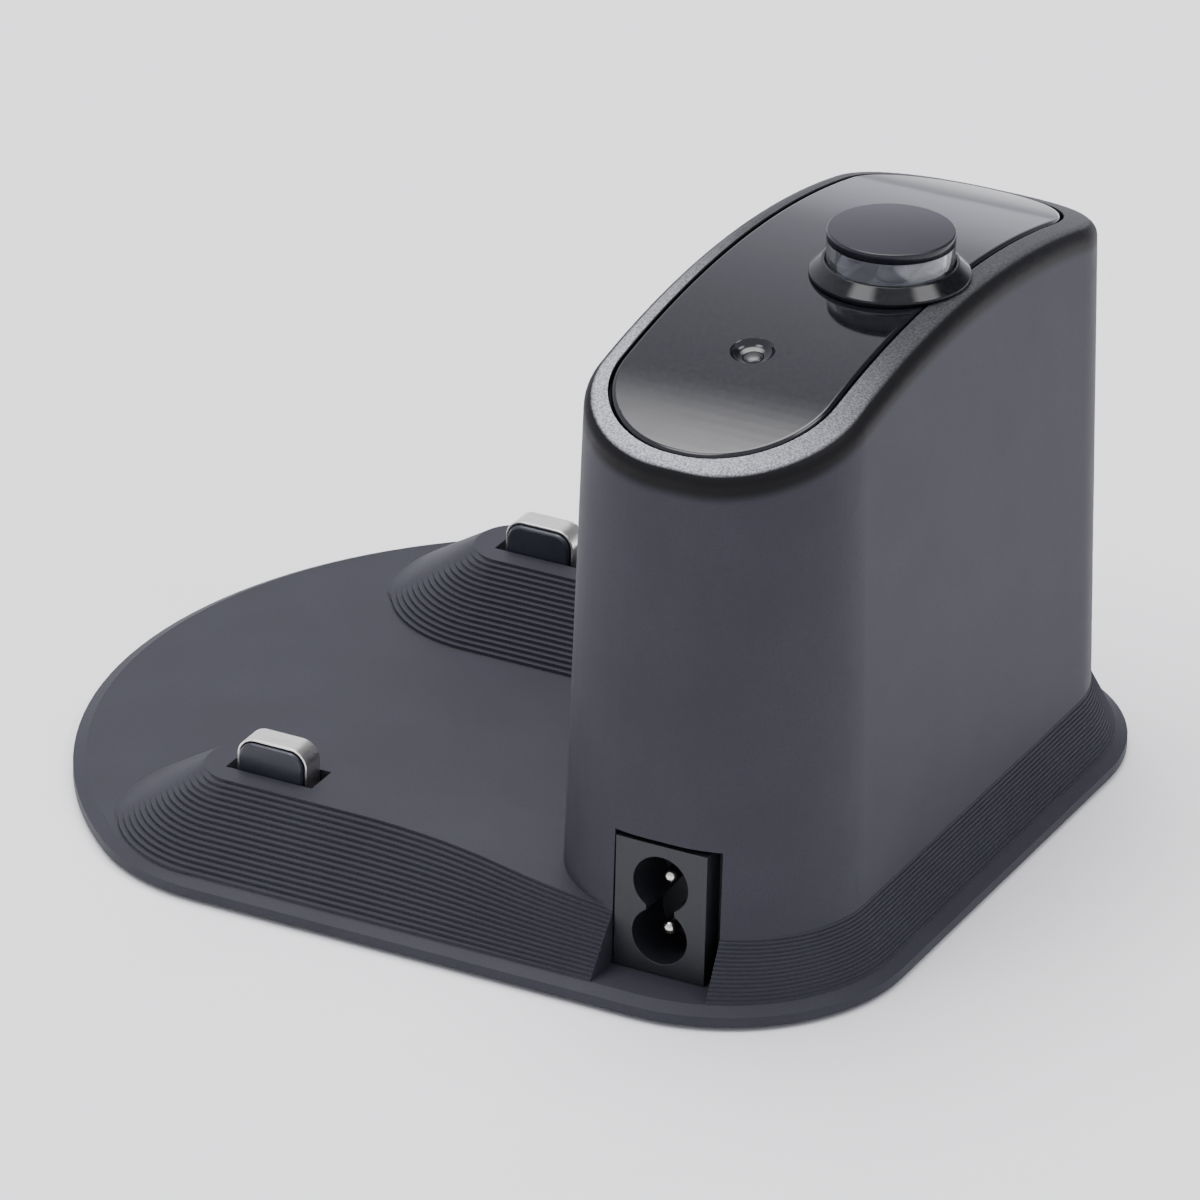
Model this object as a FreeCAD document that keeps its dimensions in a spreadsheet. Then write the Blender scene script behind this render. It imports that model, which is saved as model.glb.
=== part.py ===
import FreeCAD, Part
import math
import os
import re
from types import SimpleNamespace

import Sketcher

# Robot vacuum charging dock, in millimetres.
# X runs along the wall, -Y faces the robot, +Y faces the wall, Z is up from the floor.
# The origin is on the floor, under the middle of the foot.

Vector = FreeCAD.Vector
UP = Vector(0, 0, 1)
CORNERS = [(-1, -1), (1, -1), (1, 1), (-1, 1)]

SIZES = {
    # Foot
    "width": 134, "depth": 151, "front_radius": 78.5, "back_corner": 30, "front_corner": 30,
    "foot_stand": 0.8, "rim_height": 1.6, "bevel_width": 2, "bevel_height": 1,
    # Ridges of the plinth and the mounds
    "ridge_count": 17, "plinth_ridges": 15, "ridge_rise": 0.535,
    # Contact mounds
    "mound_side": 23.5, "mound_top_width": 13.9, "mound_front": 37.3, "ramp_run": 12.8,
    "mound_foot_flat": 1, "mound_top_flat": 0.9, "blend_start": 30, "blend_reach": 28.7,
    "ramp_top_width": 9.4, "ramp_foot_width": 20,
    # Tower
    "tower_end_gap": 7.9, "tower_width": 47, "tower_flat": 4.4, "tower_back_gap": 6.9,
    "tower_height": 94.5, "draft": 1.15, "back_swell": 1.1, "arch_radius": 170, "top_rounding": 2.6,
    "wall": 2.2, "top_wall": 2.4,
    # Gloss lid
    "lid_end_margin": 5.25, "lid_side_margin": 6.5, "lid_flat": 1.2, "lid_setback": 0.9,
    "lid_thickness": 2, "lid_gap": 0.5, "lid_proud": 0.15, "lid_edge": 0.45, "lid_rest": 0.1,
    "dish_x": 29.5, "dish_radius": 3.2, "dish_depth": 1, "lens_radius": 1.5, "lens_height": 1.4,
    # Signal dome
    "beacon_inset": 9.1, "skirt_radius": 12.1, "skirt_top_radius": 10.2, "skirt_height": 2.3,
    "skirt_floor": 0.8, "saddle": 0.6, "saddle_gap": 0.05,
    "neck_radius": 7.6, "neck_bore": 6, "neck_length": 5.5,
    "ring_radius": 9.6, "ring_wall": 1.4, "ring_fit": 0.15, "ring_show": 3.3,
    "cap_thickness": 1.6, "cap_edge": 0.4, "spigot_height": 0.6, "beacon_board_thickness": 1,
    "emitter_radius": 2.4, "emitter_height": 2.8, "emitter_ring": 4.6, "emitter_count": 3,
    # Charging contacts
    "slot_length": 14.8, "slot_width": 6.2, "slot_back": 11.7, "mound_wall": 2,
    "strap_length": 12, "strap_width": 4.2, "strap_thickness": 0.4, "strap_corner": 3,
    "strap_fit": 0.15, "contact_rise": 5.2, "core_width": 5.6, "core_bevel": 0.6,
    "flange_length": 18, "flange_width": 9, "flange_thickness": 1.5, "contact_travel": 4,
    "pocket_length": 20.4, "pocket_width": 14.4, "tunnel_width": 5, "tunnel_height": 5,
    "spring_radius": 2.8, "spring_wire": 0.5, "spring_turns": 4, "post_radius": 1.8,
    # Mains inlet
    "inlet_width": 15, "inlet_height": 21.4, "inlet_shift": 0.7, "inlet_rest": 0.1,
    "inlet_gap": 0.35, "inlet_wide_gap": 1.75, "inlet_top_gap": 0.8, "inlet_splay": 1.2,
    "inlet_setback": 0.7, "inlet_depth": 14, "inlet_flange": 2.2, "inlet_flange_thickness": 2,
    "inlet_flange_back": 4.4, "pin_pitch": 8.6, "pin_radius": 1.2, "pin_setback": 2.5,
    "socket_radius": 4.5, "socket_waist": 4.6, "socket_depth": 10, "pin_tail": 3,
    # Underside
    "cover_thickness": 1.6, "cover_front_gap": 32.5, "cover_side_gap": 7, "cover_back_gap": 5.5,
    "cover_back_radius": 24, "cover_front_radius": 6, "foot_radius": 6, "foot_recess": 0.8,
    "front_foot_side": 29, "front_foot_inset": 23.5, "back_foot_side": 33, "back_foot_inset": 14.5,
    "boss_inset": 10.1, "boss_radius": 4, "boss_height": 26,
    "mound_screw_out": 10.5, "mound_screw_back": 24.5, "mound_screw_depth": 4.6,
    "screw_radius": 1.1, "screw_head": 2.5, "screw_length": 9, "short_screw_length": 5.6,
    # Power supply
    "board_far_gap": 16.1, "board_inlet_gap": 24.1, "board_side_gap": 6.5, "board_thickness": 1.6,
    "board_lift": 7.6,
    "board_inset": 4, "standoff_radius": 3, "standoff_floor": 2,
    "board_screw_head": 2.3, "board_screw_top": 1.4, "board_screw_length": 5,
    "transformer_length": 22, "transformer_width": 20, "transformer_height": 18, "transformer_share": -0.128,
    "winding_length": 15, "winding_over": 2.5, "winding_drop": 3,
    "bulk_radius": 6, "bulk_height": 20, "bulk_share": 0.154, "crimp": 0.5, "crimp_height": 2.5,
    "output_radius": 3.5, "output_height": 12, "output_share": -0.423, "output_pitch": 10,
    "choke_share": 0.372, "choke_y": 2, "choke_radius": 7, "choke_bore": 2.2, "choke_height": 4.8,
    "choke_bevel": 0.8,
    "fuse_share": 0.346, "fuse_length": 8, "fuse_radius": 2.1, "fuse_cap": 2.5, "fuse_cap_length": 2.2,
    "sink_share": 0.154, "sink_length": 14, "sink_height": 16, "sink_fin": 1.2, "sink_pitch": 3.2,
    "sink_fins": 3,
    "edge_row": 9,
    # Fit
    "clearance": 0.3, "screw_clearance": 0.15,
}

LAYOUT = {
    "back_y": "depth / 2",
    "base_z": "foot_stand",
    "rim_z": "foot_stand + rim_height",
    "deck_z": "rim_z + bevel_height",
    "plateau_z": "deck_z + ridge_count * ridge_rise",
    "cover_z": "foot_stand + cover_thickness",
    "front_arc_y": "front_radius - depth / 2",
    "mound_x": "width / 2 - mound_side",
    "mound_run": "width / 2 - bevel_width - mound_x - mound_top_width / 2",
    "mound_foot_radius": "mound_side - bevel_width - mound_foot_flat / 2",
    "mound_top_radius": "(mound_top_width - mound_top_flat) / 2",
    "mound_front_y": "mound_front - depth / 2",
    "tower_y": "back_y - tower_back_gap - tower_width / 2",
    "tower_length": "width - 2 * tower_end_gap",
    "tower_radius": "(tower_width - tower_flat) / 2",
    "tower_z": "foot_stand + tower_height",
    "lid_y": "tower_y - lid_setback",
    "lid_length": "tower_length - 2 * lid_end_margin",
    "lid_width": "tower_width - 2 * lid_side_margin",
    "lid_radius": "(lid_width - lid_flat) / 2",
    "lid_seat": "lid_thickness + lid_rest - lid_proud",
    "beacon_y": "lid_y + lid_width / 2 - beacon_inset",
    "lid_z": "tower_z + lid_proud",
    "dish_sine": "dish_x / arch_radius",
    "dish_cosine": "sqrt(1 - dish_sine * dish_sine)",
    "dish_z": "lid_z - arch_radius * (1 - dish_cosine)",
    "lens_sink": "lid_thickness - clearance",
    "beacon_floor": "lid_z + skirt_floor",
    "skirt_z": "lid_z + skirt_height",
    "cap_z": "skirt_z + ring_show",
    "contact_y": "mound_front_y + slot_back",
    "contact_z": "plateau_z + contact_rise",
    "flange_z": "plateau_z - mound_wall - clearance - flange_thickness",
    "post_height": "flange_z - contact_travel - cover_z - clearance",
    "spring_end": "spring_wire / 2 + screw_clearance",
    "spring_height": "flange_z - cover_z - 2 * spring_end",
    "core_z": "flange_z + flange_thickness",
    "strap_inner": "strap_length - 2 * strap_thickness",
    "core_length": "strap_inner - 2 * strap_fit",
    "inner_corner": "strap_corner - strap_thickness",
    "core_corner": "inner_corner - strap_fit",
    "inlet_x": "tower_length / 2 - inlet_setback",
    "inlet_y": "tower_y + inlet_shift",
    "inlet_z": "deck_z + inlet_rest + inlet_height / 2",
    "board_length": "tower_length - board_far_gap - board_inlet_gap",
    "board_width": "tower_width - 2 * board_side_gap",
    "board_x": "(board_far_gap - board_inlet_gap) / 2",
    "board_z": "cover_z + board_lift",
    "part_z": "board_z + board_thickness",
    "transformer_x": "board_x + board_length * transformer_share",
    "bulk_x": "board_x + board_length * bulk_share",
    "output_x": "board_x + board_length * output_share",
    "choke_x": "board_x + board_length * choke_share",
    "fuse_x": "board_x + board_length * fuse_share",
    "sink_x": "board_x + board_length * sink_share",
    "hole_x": "board_length / 2 - board_inset",
    "hole_y": "board_width / 2 - board_inset",
    "pilot": "screw_radius + screw_clearance",
    "cover_length": "depth - cover_back_gap - cover_front_gap",
    "cover_width": "width - 2 * cover_side_gap",
    "cover_y": "back_y - cover_back_gap - cover_length / 2",
    "front_foot_x": "width / 2 - front_foot_side",
    "front_foot_y": "front_foot_inset - depth / 2",
    "back_foot_x": "width / 2 - back_foot_side",
    "back_foot_y": "back_y - back_foot_inset",
    "boss_x": "tower_length / 2 - boss_inset",
    "boss_y": "tower_y + tower_width / 2 - boss_inset",
    "mound_screw_x": "mound_x + mound_screw_out",
    "mound_screw_y": "contact_y + mound_screw_back",
}

doc = FreeCAD.newDocument("charging_dock")
sheet = doc.addObject("Spreadsheet::Sheet", "Sizes")
layout = doc.addObject("App::FeaturePython", "Layout")


def formula(text):
    """Write a formula's plain names as references to the sheet and the layout."""
    def reference(match):
        word = match.group(0)
        if word in SIZES:
            return "Sizes." + word
        return "Layout." + word if word in LAYOUT else word
    return re.sub(r"[a-z][a-z_]*", reference, str(text))


def bind(item, formulas):
    """Tie an object's properties to formulas of the named sizes."""
    for prop, text in formulas.items():
        item.setExpression(prop, formula(text))


def fill_sizes():
    """Put the driving sizes in the sheet, derive the layout and give both as numbers."""
    for row, (name, number) in enumerate(SIZES.items(), start=1):
        sheet.set("A%d" % row, name)
        sheet.set("B%d" % row, str(number))
        sheet.setAlias("B%d" % row, name)
    doc.recompute()
    for name, text in LAYOUT.items():
        layout.addProperty("App::PropertyFloat", name)
        layout.setExpression(name, formula(text))
        doc.recompute()
    numbers = {name: float(sheet.get(name)) for name in SIZES}
    numbers.update({name: float(getattr(layout, name)) for name in LAYOUT})
    return SimpleNamespace(**numbers)


m = fill_sizes()


# Helpers for pieces made of primitives

def place(item, x=0, y=0, z=0):
    """Bind an object's position."""
    bind(item, {"Placement.Base.x": x, "Placement.Base.y": y, "Placement.Base.z": z})
    return item


def box(name, length, width, height, x=0, y=0, z=0):
    """Block centred on x and y, standing on z."""
    item = doc.addObject("Part::Box", name)
    bind(item, {"Length": length, "Width": width, "Height": height})
    return place(item, f"({x}) - ({length}) / 2", f"({y}) - ({width}) / 2", z)


def rod(name, radius, height, x=0, y=0, z=0, along=UP):
    """Cylinder that starts at a point and runs along a direction."""
    item = doc.addObject("Part::Cylinder", name)
    item.Placement.Rotation = FreeCAD.Rotation(UP, along)
    bind(item, {"Radius": radius, "Height": height})
    return place(item, x, y, z)


def cone(name, low_radius, high_radius, height, x=0, y=0, z=0):
    """Upright cone frustum."""
    item = doc.addObject("Part::Cone", name)
    bind(item, {"Radius1": low_radius, "Radius2": high_radius, "Height": height})
    return place(item, x, y, z)


def ball(name, radius, x=0, y=0, z=0):
    """Sphere round a point."""
    item = doc.addObject("Part::Sphere", name)
    bind(item, {"Radius": radius})
    return place(item, x, y, z)


def fuse(name, *items):
    """One solid out of several that meet."""
    item = doc.addObject("Part::MultiFuse", name)
    item.Shapes = list(items)
    item.Refine = True
    return item


def cut(name, base, *tools):
    """The base with the tools taken out of it."""
    item = doc.addObject("Part::Cut", name)
    item.Base = base
    item.Tool = tools[0] if len(tools) == 1 else fuse(name + "_tools", *tools)
    item.Refine = True
    return item


def group(name, *items):
    """Like pieces that share one file, each a solid of its own."""
    item = doc.addObject("Part::Compound", name)
    item.Links = list(items)
    return item


def rounded(name, base, radius, wanted):
    """Fillet the edges of a primitive that a test picks."""
    doc.recompute()
    item = doc.addObject("Part::Fillet", name)
    item.Base = base
    edges = enumerate(base.Shape.Edges, start=1)
    item.Edges = [(index, radius, radius) for index, edge in edges if wanted(edge)]
    return item


def is_along(edge, direction):
    """True for a straight edge in a direction."""
    straight = edge.Curve.TypeId == "Part::GeomLine"
    return straight and abs(edge.tangentAt(edge.FirstParameter) * direction) > 0.999


def turned(name, profile, x=0, y=0, z=0):
    """Turned piece: a sketched profile of radius and height formulas, revolved about its own axis."""
    body = doc.addObject("PartDesign::Body", name)
    sketch = body.newObject("Sketcher::SketchObject", name + "_profile")
    plane = next(item for item in body.Origin.OriginFeatures if item.Role == "XZ_Plane")
    sketch.AttachmentSupport = [(plane, "")]
    sketch.MapMode = "FlatFace"
    points = [Vector(1 + index, 1 + index ** 2, 0) for index in range(len(profile))]
    for index, point in enumerate(points):
        sketch.addGeometry(Part.LineSegment(point, points[(index + 1) % len(points)]))
    for index in range(len(points)):
        follower = (index + 1) % len(points)
        sketch.addConstraint(Sketcher.Constraint("Coincident", index, 2, follower, 1))
    for index, (radius, height) in enumerate(profile):
        pin_point(sketch, index, "DistanceX", -2, radius, points[index].x)
        pin_point(sketch, index, "DistanceY", -1, height, points[index].y)
    turn = body.newObject("PartDesign::Revolution", name + "_turn")
    turn.Profile = sketch
    turn.ReferenceAxis = (sketch, ["V_Axis"])
    turn.Angle = 360
    return place(body, x, y, z)


def pin_point(sketch, index, kind, axis, text, number):
    """Hold a profile point on an axis, or at a bound distance from it."""
    if str(text) == "0":
        sketch.addConstraint(Sketcher.Constraint("PointOnObject", index, 1, axis))
        return
    row = sketch.addConstraint(Sketcher.Constraint(kind, -1, 1, index, 1, number))
    sketch.setExpression("Constraints[%d]" % row, formula(text))


def shaped(name, shape):
    """Moulded piece whose form no primitive gives."""
    item = doc.addObject("Part::Feature", name)
    item.Shape = shape
    return item


# Plan outlines of the housing

class Plan:
    """Right half of an outline, drawn from the back of the middle line to its front, then mirrored."""

    def __init__(self, y, z):
        self.here = Vector(0, y, z)
        self.edges = []

    def line(self, x, y):
        there = Vector(x, y, self.here.z)
        if there.distanceToPoint(self.here) > 1e-6:
            self.edges.append(Part.LineSegment(self.here, there).toShape())
        self.here = there

    def arc(self, x, y, radius, clockwise=True):
        """Arc to a point, with its middle worked out from the chord and the radius."""
        there = Vector(x, y, self.here.z)
        chord = there - self.here
        side = chord.cross(UP).normalize() * (-1 if clockwise else 1)
        sagitta = radius - math.sqrt(max(radius ** 2 - (chord.Length / 2) ** 2, 0))
        middle = (self.here + there) * 0.5 + side * sagitta
        self.edges.append(Part.Arc(self.here, middle, there).toShape())
        self.here = there

    def wire(self):
        mirrored = [edge.mirror(Vector(), Vector(1, 0, 0)) for edge in self.edges]
        return Part.Wire(Part.__sortEdges__(self.edges + mirrored))

    def solid(self, height):
        return Part.Face(self.wire()).extrude(UP * height)


def foot_outline(inset, z):
    """Straight sides, round front and four rounded corners, moved in by an inset."""
    side = m.width / 2 - inset
    back = m.back_y - inset
    corner = m.back_corner - inset
    turn = m.front_corner - inset
    front = m.front_radius - inset
    turn_x = side - turn
    turn_y = m.front_arc_y - math.sqrt((front - turn) ** 2 - turn_x ** 2)
    reach = front / (front - turn)
    plan = Plan(back, z)
    plan.line(side - corner, back)
    plan.arc(side, back - corner, corner)
    plan.line(side, turn_y)
    plan.arc(turn_x * reach, m.front_arc_y + (turn_y - m.front_arc_y) * reach, turn)
    plan.arc(0, m.front_arc_y - front, front)
    return plan


def tower_outline(grow, z, swell=0):
    """Long rounded plan of the tower, grown or shrunk evenly, with its back moved out by a swell."""
    side = m.tower_length / 2 + grow
    half = m.tower_width / 2 + grow
    radius = m.tower_radius + grow
    back = m.tower_y + half + swell
    front = m.tower_y - half
    plan = Plan(back, z)
    plan.line(side - radius, back)
    plan.arc(side, back - radius, radius)
    plan.line(side, front + radius)
    plan.arc(side - radius, front, radius)
    plan.line(0, front)
    return plan


def between(low, high, share):
    return low + (high - low) * share


def mound_ends(share):
    """Outer side, inner side, front and front radius of a mound, from foot (0) to top (1)."""
    half = m.mound_top_width / 2 + between(m.mound_run, 0, share)
    front = m.mound_front_y - between(m.ramp_run, 0, share)
    radius = between(m.mound_foot_radius, m.mound_top_radius, share)
    return m.mound_x + half, m.mound_x - half, front, radius


def ridge_outline(step):
    """Plan of one ridge: round the back of the tower, along the flanks and round both mounds."""
    share = step / (m.ridge_count - 1)
    climb = step / (m.plinth_ridges - 1)
    side = between(m.width / 2 - m.bevel_width, m.tower_length / 2, climb)
    back = between(m.back_y - m.bevel_width, m.back_y - m.tower_back_gap + m.back_swell, climb)
    corner = between(m.back_corner - m.bevel_width, m.tower_radius, climb)
    outer, inner, front, radius = mound_ends(share)
    join_y = m.back_y - m.blend_start
    blend_y = m.mound_front_y + m.blend_reach
    plan = Plan(back, m.deck_z + step * m.ridge_rise)
    plan.line(side - corner, back)
    plan.arc(side, back - corner, corner)
    plan.line(side, join_y)
    swing = side - outer
    if swing > 0.01:
        bend = (swing ** 2 + (join_y - blend_y) ** 2) / (4 * swing)
        plan.arc((side + outer) / 2, (join_y + blend_y) / 2, bend)
        plan.arc(outer, blend_y, bend, clockwise=False)
    plan.line(outer, front + radius)
    plan.arc(outer - radius, front, radius)
    plan.line(inner + radius, front)
    plan.arc(inner, front + radius, radius)
    plan.line(inner, m.tower_y)
    plan.line(0, m.tower_y)
    return plan


# Upper housing

def foot_plate():
    """Flat lobed foot with a low upright rim and a bevel up to the deck."""
    rim = foot_outline(0, m.base_z).solid(m.rim_height)
    edges = [foot_outline(0, m.rim_z).wire(), foot_outline(m.bevel_width, m.deck_z).wire()]
    return rim.fuse(Part.makeLoft(edges, True, True))


def tower_solid(grow, top):
    """Drafted tower under an arched top, with more draft at its back."""
    rise = m.tower_z - m.base_z
    lean = rise * math.tan(math.radians(m.draft))
    foot = tower_outline(grow, m.base_z, m.back_swell)
    head = tower_outline(grow - lean, m.tower_z)
    return Part.makeLoft([foot.wire(), head.wire()], True, True).common(arch(top))


def arch(top):
    """Lying cylinder whose upper side is the arched top."""
    start = Vector(0, -m.depth, top - m.arch_radius)
    return Part.makeCylinder(m.arch_radius, 2 * m.depth, start, Vector(0, 1, 0))


def soften_top(tower):
    """Round the edge between the arched top and the walls."""
    edges = [edge for face in tower.Faces for edge in face.Edges if is_arch(face, m.arch_radius)]
    return tower.makeFillet(m.top_rounding, edges)


def is_arch(face, radius):
    """True for the arched face, which is a cylinder of the arch's radius lying along Y."""
    return face.Surface.TypeId == "Part::GeomCylinder" and abs(face.Surface.Radius - radius) < 1e-4


def ridges():
    """Flights of fine steps, one extruded plan on another."""
    count = int(m.ridge_count)
    steps = [ridge_outline(step).solid(m.ridge_rise) for step in range(count)]
    return steps[0].multiFuse(steps[1:])


def ramp_fan():
    """Upright prism over the smooth strip at the front of the right mound, wider at its foot."""
    foot_y = m.mound_front_y - m.ramp_run - m.bevel_width
    top_y = m.mound_front_y + m.mound_top_radius / 4
    foot = m.ramp_foot_width / 2
    top = m.ramp_top_width / 2
    ends = [(m.mound_x + foot, foot_y), (m.mound_x + top, top_y),
            (m.mound_x - top, top_y), (m.mound_x - foot, foot_y)]
    points = [Vector(x, y, m.deck_z) for x, y in ends]
    return Part.Face(Part.makePolygon(points + points[:1])).extrude(UP * (m.plateau_z - m.deck_z))


def mound_block():
    """Smooth mound, level with the crests of the ridges."""
    wires = []
    below_first = -1 / (m.ridge_count - 1)
    for share, z in ((below_first, m.deck_z), (1, m.plateau_z)):
        outer, inner, front, radius = mound_ends(share)
        corners = [(outer, m.contact_y), (outer, front + radius), (outer - radius, front),
                   (inner + radius, front), (inner, front + radius), (inner, m.contact_y)]
        points = [Vector(x, y, z) for x, y in corners]
        bulge = radius * math.sqrt(0.5)
        outer_mid = Vector(outer - radius + bulge, front + radius - bulge, z)
        inner_mid = Vector(inner + radius - bulge, front + radius - bulge, z)
        edges = [
            Part.LineSegment(points[0], points[1]).toShape(),
            Part.Arc(points[1], outer_mid, points[2]).toShape(),
            Part.LineSegment(points[2], points[3]).toShape(),
            Part.Arc(points[3], inner_mid, points[4]).toShape(),
            Part.LineSegment(points[4], points[5]).toShape(),
            Part.LineSegment(points[5], points[0]).toShape(),
        ]
        wires.append(Part.Wire(edges))
    return Part.makeLoft(wires, True, True)


def both_sides(shape):
    """A shape on the right and its mirror image on the left."""
    return [shape, shape.mirror(Vector(), Vector(1, 0, 0))]


def block(length, width, height, x, y, z):
    """Plain block centred on x and y, standing on z."""
    return Part.makeBox(length, width, height, Vector(x - length / 2, y - width / 2, z))


def drum(radius, height, x, y, z):
    """Plain upright cylinder."""
    return Part.makeCylinder(radius, height, Vector(x, y, z))


def lid_prism(grow, low, high):
    """Upright prism of the lid's plan, grown evenly."""
    length = m.lid_length + 2 * grow
    width = m.lid_width + 2 * grow
    prism = block(length, width, high - low, 0, m.lid_y, low)
    upright = [edge for edge in prism.Edges if is_along(edge, UP)]
    return prism.makeFillet(m.lid_radius + grow, upright)


def cover_prism(grow, z, height):
    """Prism of the bottom cover's plan: wide corners at the back, small ones in front."""
    side = m.cover_width / 2 + grow
    back = m.cover_y + m.cover_length / 2 + grow
    front = m.cover_y - m.cover_length / 2 - grow
    wide = m.cover_back_radius + grow
    small = m.cover_front_radius + grow
    plan = Plan(back, z)
    plan.line(side - wide, back)
    plan.arc(side, back - wide, wide)
    plan.line(side, front + small)
    plan.arc(side - small, front, small)
    plan.line(0, front)
    return plan.solid(height)


def inlet_recess():
    """Opening for the inlet in the end of the tower, down to the deck, splayed on one side."""
    inner = m.tower_length / 2 - 2 * m.wall
    outer = m.width / 2
    left = m.inlet_y - m.inlet_width / 2 - m.inlet_gap
    right = m.inlet_y + m.inlet_width / 2 + m.inlet_wide_gap
    ends = [(inner, left), (outer, left), (outer, right + m.inlet_splay), (inner, right)]
    points = [Vector(x, y, m.deck_z) for x, y in ends]
    high = m.inlet_rest + m.inlet_height + m.inlet_top_gap
    return Part.Face(Part.makePolygon(points + points[:1])).extrude(UP * high)


def housing_hollows():
    """Everything that is taken out of the moulding."""
    seat_low = m.tower_z - m.lid_seat
    floor = m.cover_z
    hollow = tower_solid(-m.wall, seat_low - m.top_wall)
    hollow = hollow.cut(block(2 * m.width, 2 * m.depth, floor, 0, 0, 0))
    lid_seat = lid_prism(m.lid_gap, m.tower_z / 2, 2 * m.tower_z).cut(arch(seat_low))
    recess = cover_prism(m.clearance, 0, floor)
    pocket_top = m.plateau_z - m.mound_wall
    pocket = block(m.pocket_width, m.pocket_length, pocket_top - floor, m.mound_x, m.contact_y, floor)
    slot = block(m.slot_width, m.slot_length, m.plateau_z - floor, m.mound_x, m.contact_y, floor)
    tunnel_run = m.tower_y - m.contact_y
    tunnel_y = m.contact_y + tunnel_run / 2
    tunnel = block(m.tunnel_width, tunnel_run, m.tunnel_height, m.mound_x, tunnel_y, floor)
    neck_hole = drum(m.neck_radius + m.clearance, m.tower_z / 4, 0, m.beacon_y, m.tower_z * 7 / 8)
    light_hole = drum(m.lens_radius / 2, m.tower_z / 4, m.dish_x, m.lid_y, m.tower_z * 7 / 8)
    screw = drum(m.pilot, m.mound_screw_depth + m.clearance, m.mound_screw_x, m.mound_screw_y, floor)
    foot = drum(m.foot_radius + m.clearance, m.foot_recess, m.front_foot_x, m.front_foot_y, m.base_z)
    tools = [hollow, lid_seat, recess, inlet_recess(), neck_hole, light_hole]
    for shape in (pocket, slot, tunnel, screw, foot):
        tools += both_sides(shape)
    return tools


def screw_bosses():
    """Two posts in the back corners of the tower that take the long cover screws."""
    post = drum(m.boss_radius, m.boss_height, m.boss_x, m.boss_y, m.cover_z)
    pilot = drum(m.pilot, m.screw_length, m.boss_x, m.boss_y, m.cover_z)
    return both_sides(post.cut(pilot))


def upper_housing():
    """One moulding: foot, ridged plinth and mounds with smooth ramps, and the tower."""
    fans = both_sides(ramp_fan())
    ramps = [fan.common(mound) for fan, mound in zip(fans, both_sides(mound_block()))]
    stepped = ridges().cut(fans)
    tower = soften_top(tower_solid(0, m.tower_z))
    solid = foot_plate().multiFuse([stepped, tower] + ramps)
    solid = solid.cut(housing_hollows())
    solid = solid.multiFuse(screw_bosses()).removeSplitter()
    return shaped("upper_housing", solid.Solids[0])


# Gloss lid

def top_lid():
    """Arched panel with a hole for the dome and a small leaning dish for the indicator."""
    plan = lid_prism(0, m.tower_z / 2, 2 * m.tower_z)
    panel = plan.common(arch(m.lid_z)).cut(arch(m.lid_z - m.lid_thickness))
    arches = [face for face in panel.Faces if is_arch(face, m.arch_radius)]
    top_face = max(arches, key=lambda face: face.CenterOfMass.z)
    panel = panel.makeFillet(m.lid_edge, top_face.Edges)
    lean = Vector(m.dish_sine, 0, m.dish_cosine)
    middle = Vector(m.dish_x, m.lid_y, m.dish_z)
    bore_radius = m.lens_radius + m.clearance
    dish = Part.makeCone(bore_radius, m.dish_radius, m.dish_depth, middle - lean * m.dish_depth, lean)
    above = Part.makeCylinder(m.dish_radius, m.lid_thickness, middle, lean)
    bore = Part.makeCylinder(bore_radius, 2 * m.lid_thickness, middle - lean * 2 * m.lid_thickness, lean)
    hole = drum(m.neck_radius + m.clearance, m.tower_z, 0, m.beacon_y, m.tower_z / 2)
    return shaped("top_lid", panel.cut([dish, above, bore, hole]))


def indicator_lens():
    """Small domed lens at the bottom of the dish, leaning with the arch."""
    lens = turned("indicator_lens", [
        (0, 0), ("lens_radius", 0), ("lens_radius", "lens_height * 2 / 3"),
        ("lens_radius * 2 / 3", "lens_height"), (0, "lens_height")])
    lens.Placement.Rotation = FreeCAD.Rotation(UP, Vector(m.dish_sine, 0, m.dish_cosine))
    return place(lens, "dish_x - dish_sine * lens_sink", "lid_y", "dish_z - dish_cosine * lens_sink")


# Signal dome

def beacon_skirt():
    """Gloss collar: a neck through the lid, a saddle on the arch and a cone round the clear ring."""
    turning = turned("skirt_turning", [
        ("neck_bore", 0), ("neck_radius", 0), ("neck_radius", "neck_length - saddle"),
        ("skirt_radius", "neck_length - saddle"), ("skirt_radius", "neck_length"),
        ("skirt_top_radius", "neck_length + skirt_height"),
        ("ring_radius + ring_fit", "neck_length + skirt_height"),
        ("ring_radius + ring_fit", "neck_length + skirt_floor"),
        ("neck_bore", "neck_length + skirt_floor")], 0, "beacon_y", "lid_z - neck_length")
    crown = rod("lid_crown", "arch_radius", "depth", 0, "-depth / 4", "lid_z + saddle_gap - arch_radius",
                Vector(0, 1, 0))
    neck = rod("neck_space", "neck_radius", "neck_length * 2", 0, "beacon_y", "lid_z - neck_length * 3 / 2")
    return cut("beacon_skirt", turning, cut("lid_saddle", crown, neck))


def beacon_ring():
    """Clear tube between the collar and the cap."""
    inner = "ring_radius - ring_wall"
    height = "cap_z - beacon_floor"
    return turned("beacon_ring", [(inner, 0), ("ring_radius", 0), ("ring_radius", height), (inner, height)],
                  0, "beacon_y", "beacon_floor")


def beacon_cap():
    """Flat black cap with a spigot in the ring and a broken edge."""
    spigot = "ring_radius - ring_wall - clearance"
    top = "spigot_height + cap_thickness"
    return turned("beacon_cap", [
        (0, 0), (spigot, 0), (spigot, "spigot_height"), ("ring_radius", "spigot_height"),
        ("ring_radius", top + " - cap_edge"), ("ring_radius - cap_edge", top), (0, top)],
        0, "beacon_y", "cap_z - spigot_height")


def beacon_board():
    """Round board on the floor of the collar."""
    return rod("beacon_board", "ring_radius - ring_wall - clearance", "beacon_board_thickness", 0, "beacon_y",
               "beacon_floor")


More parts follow.
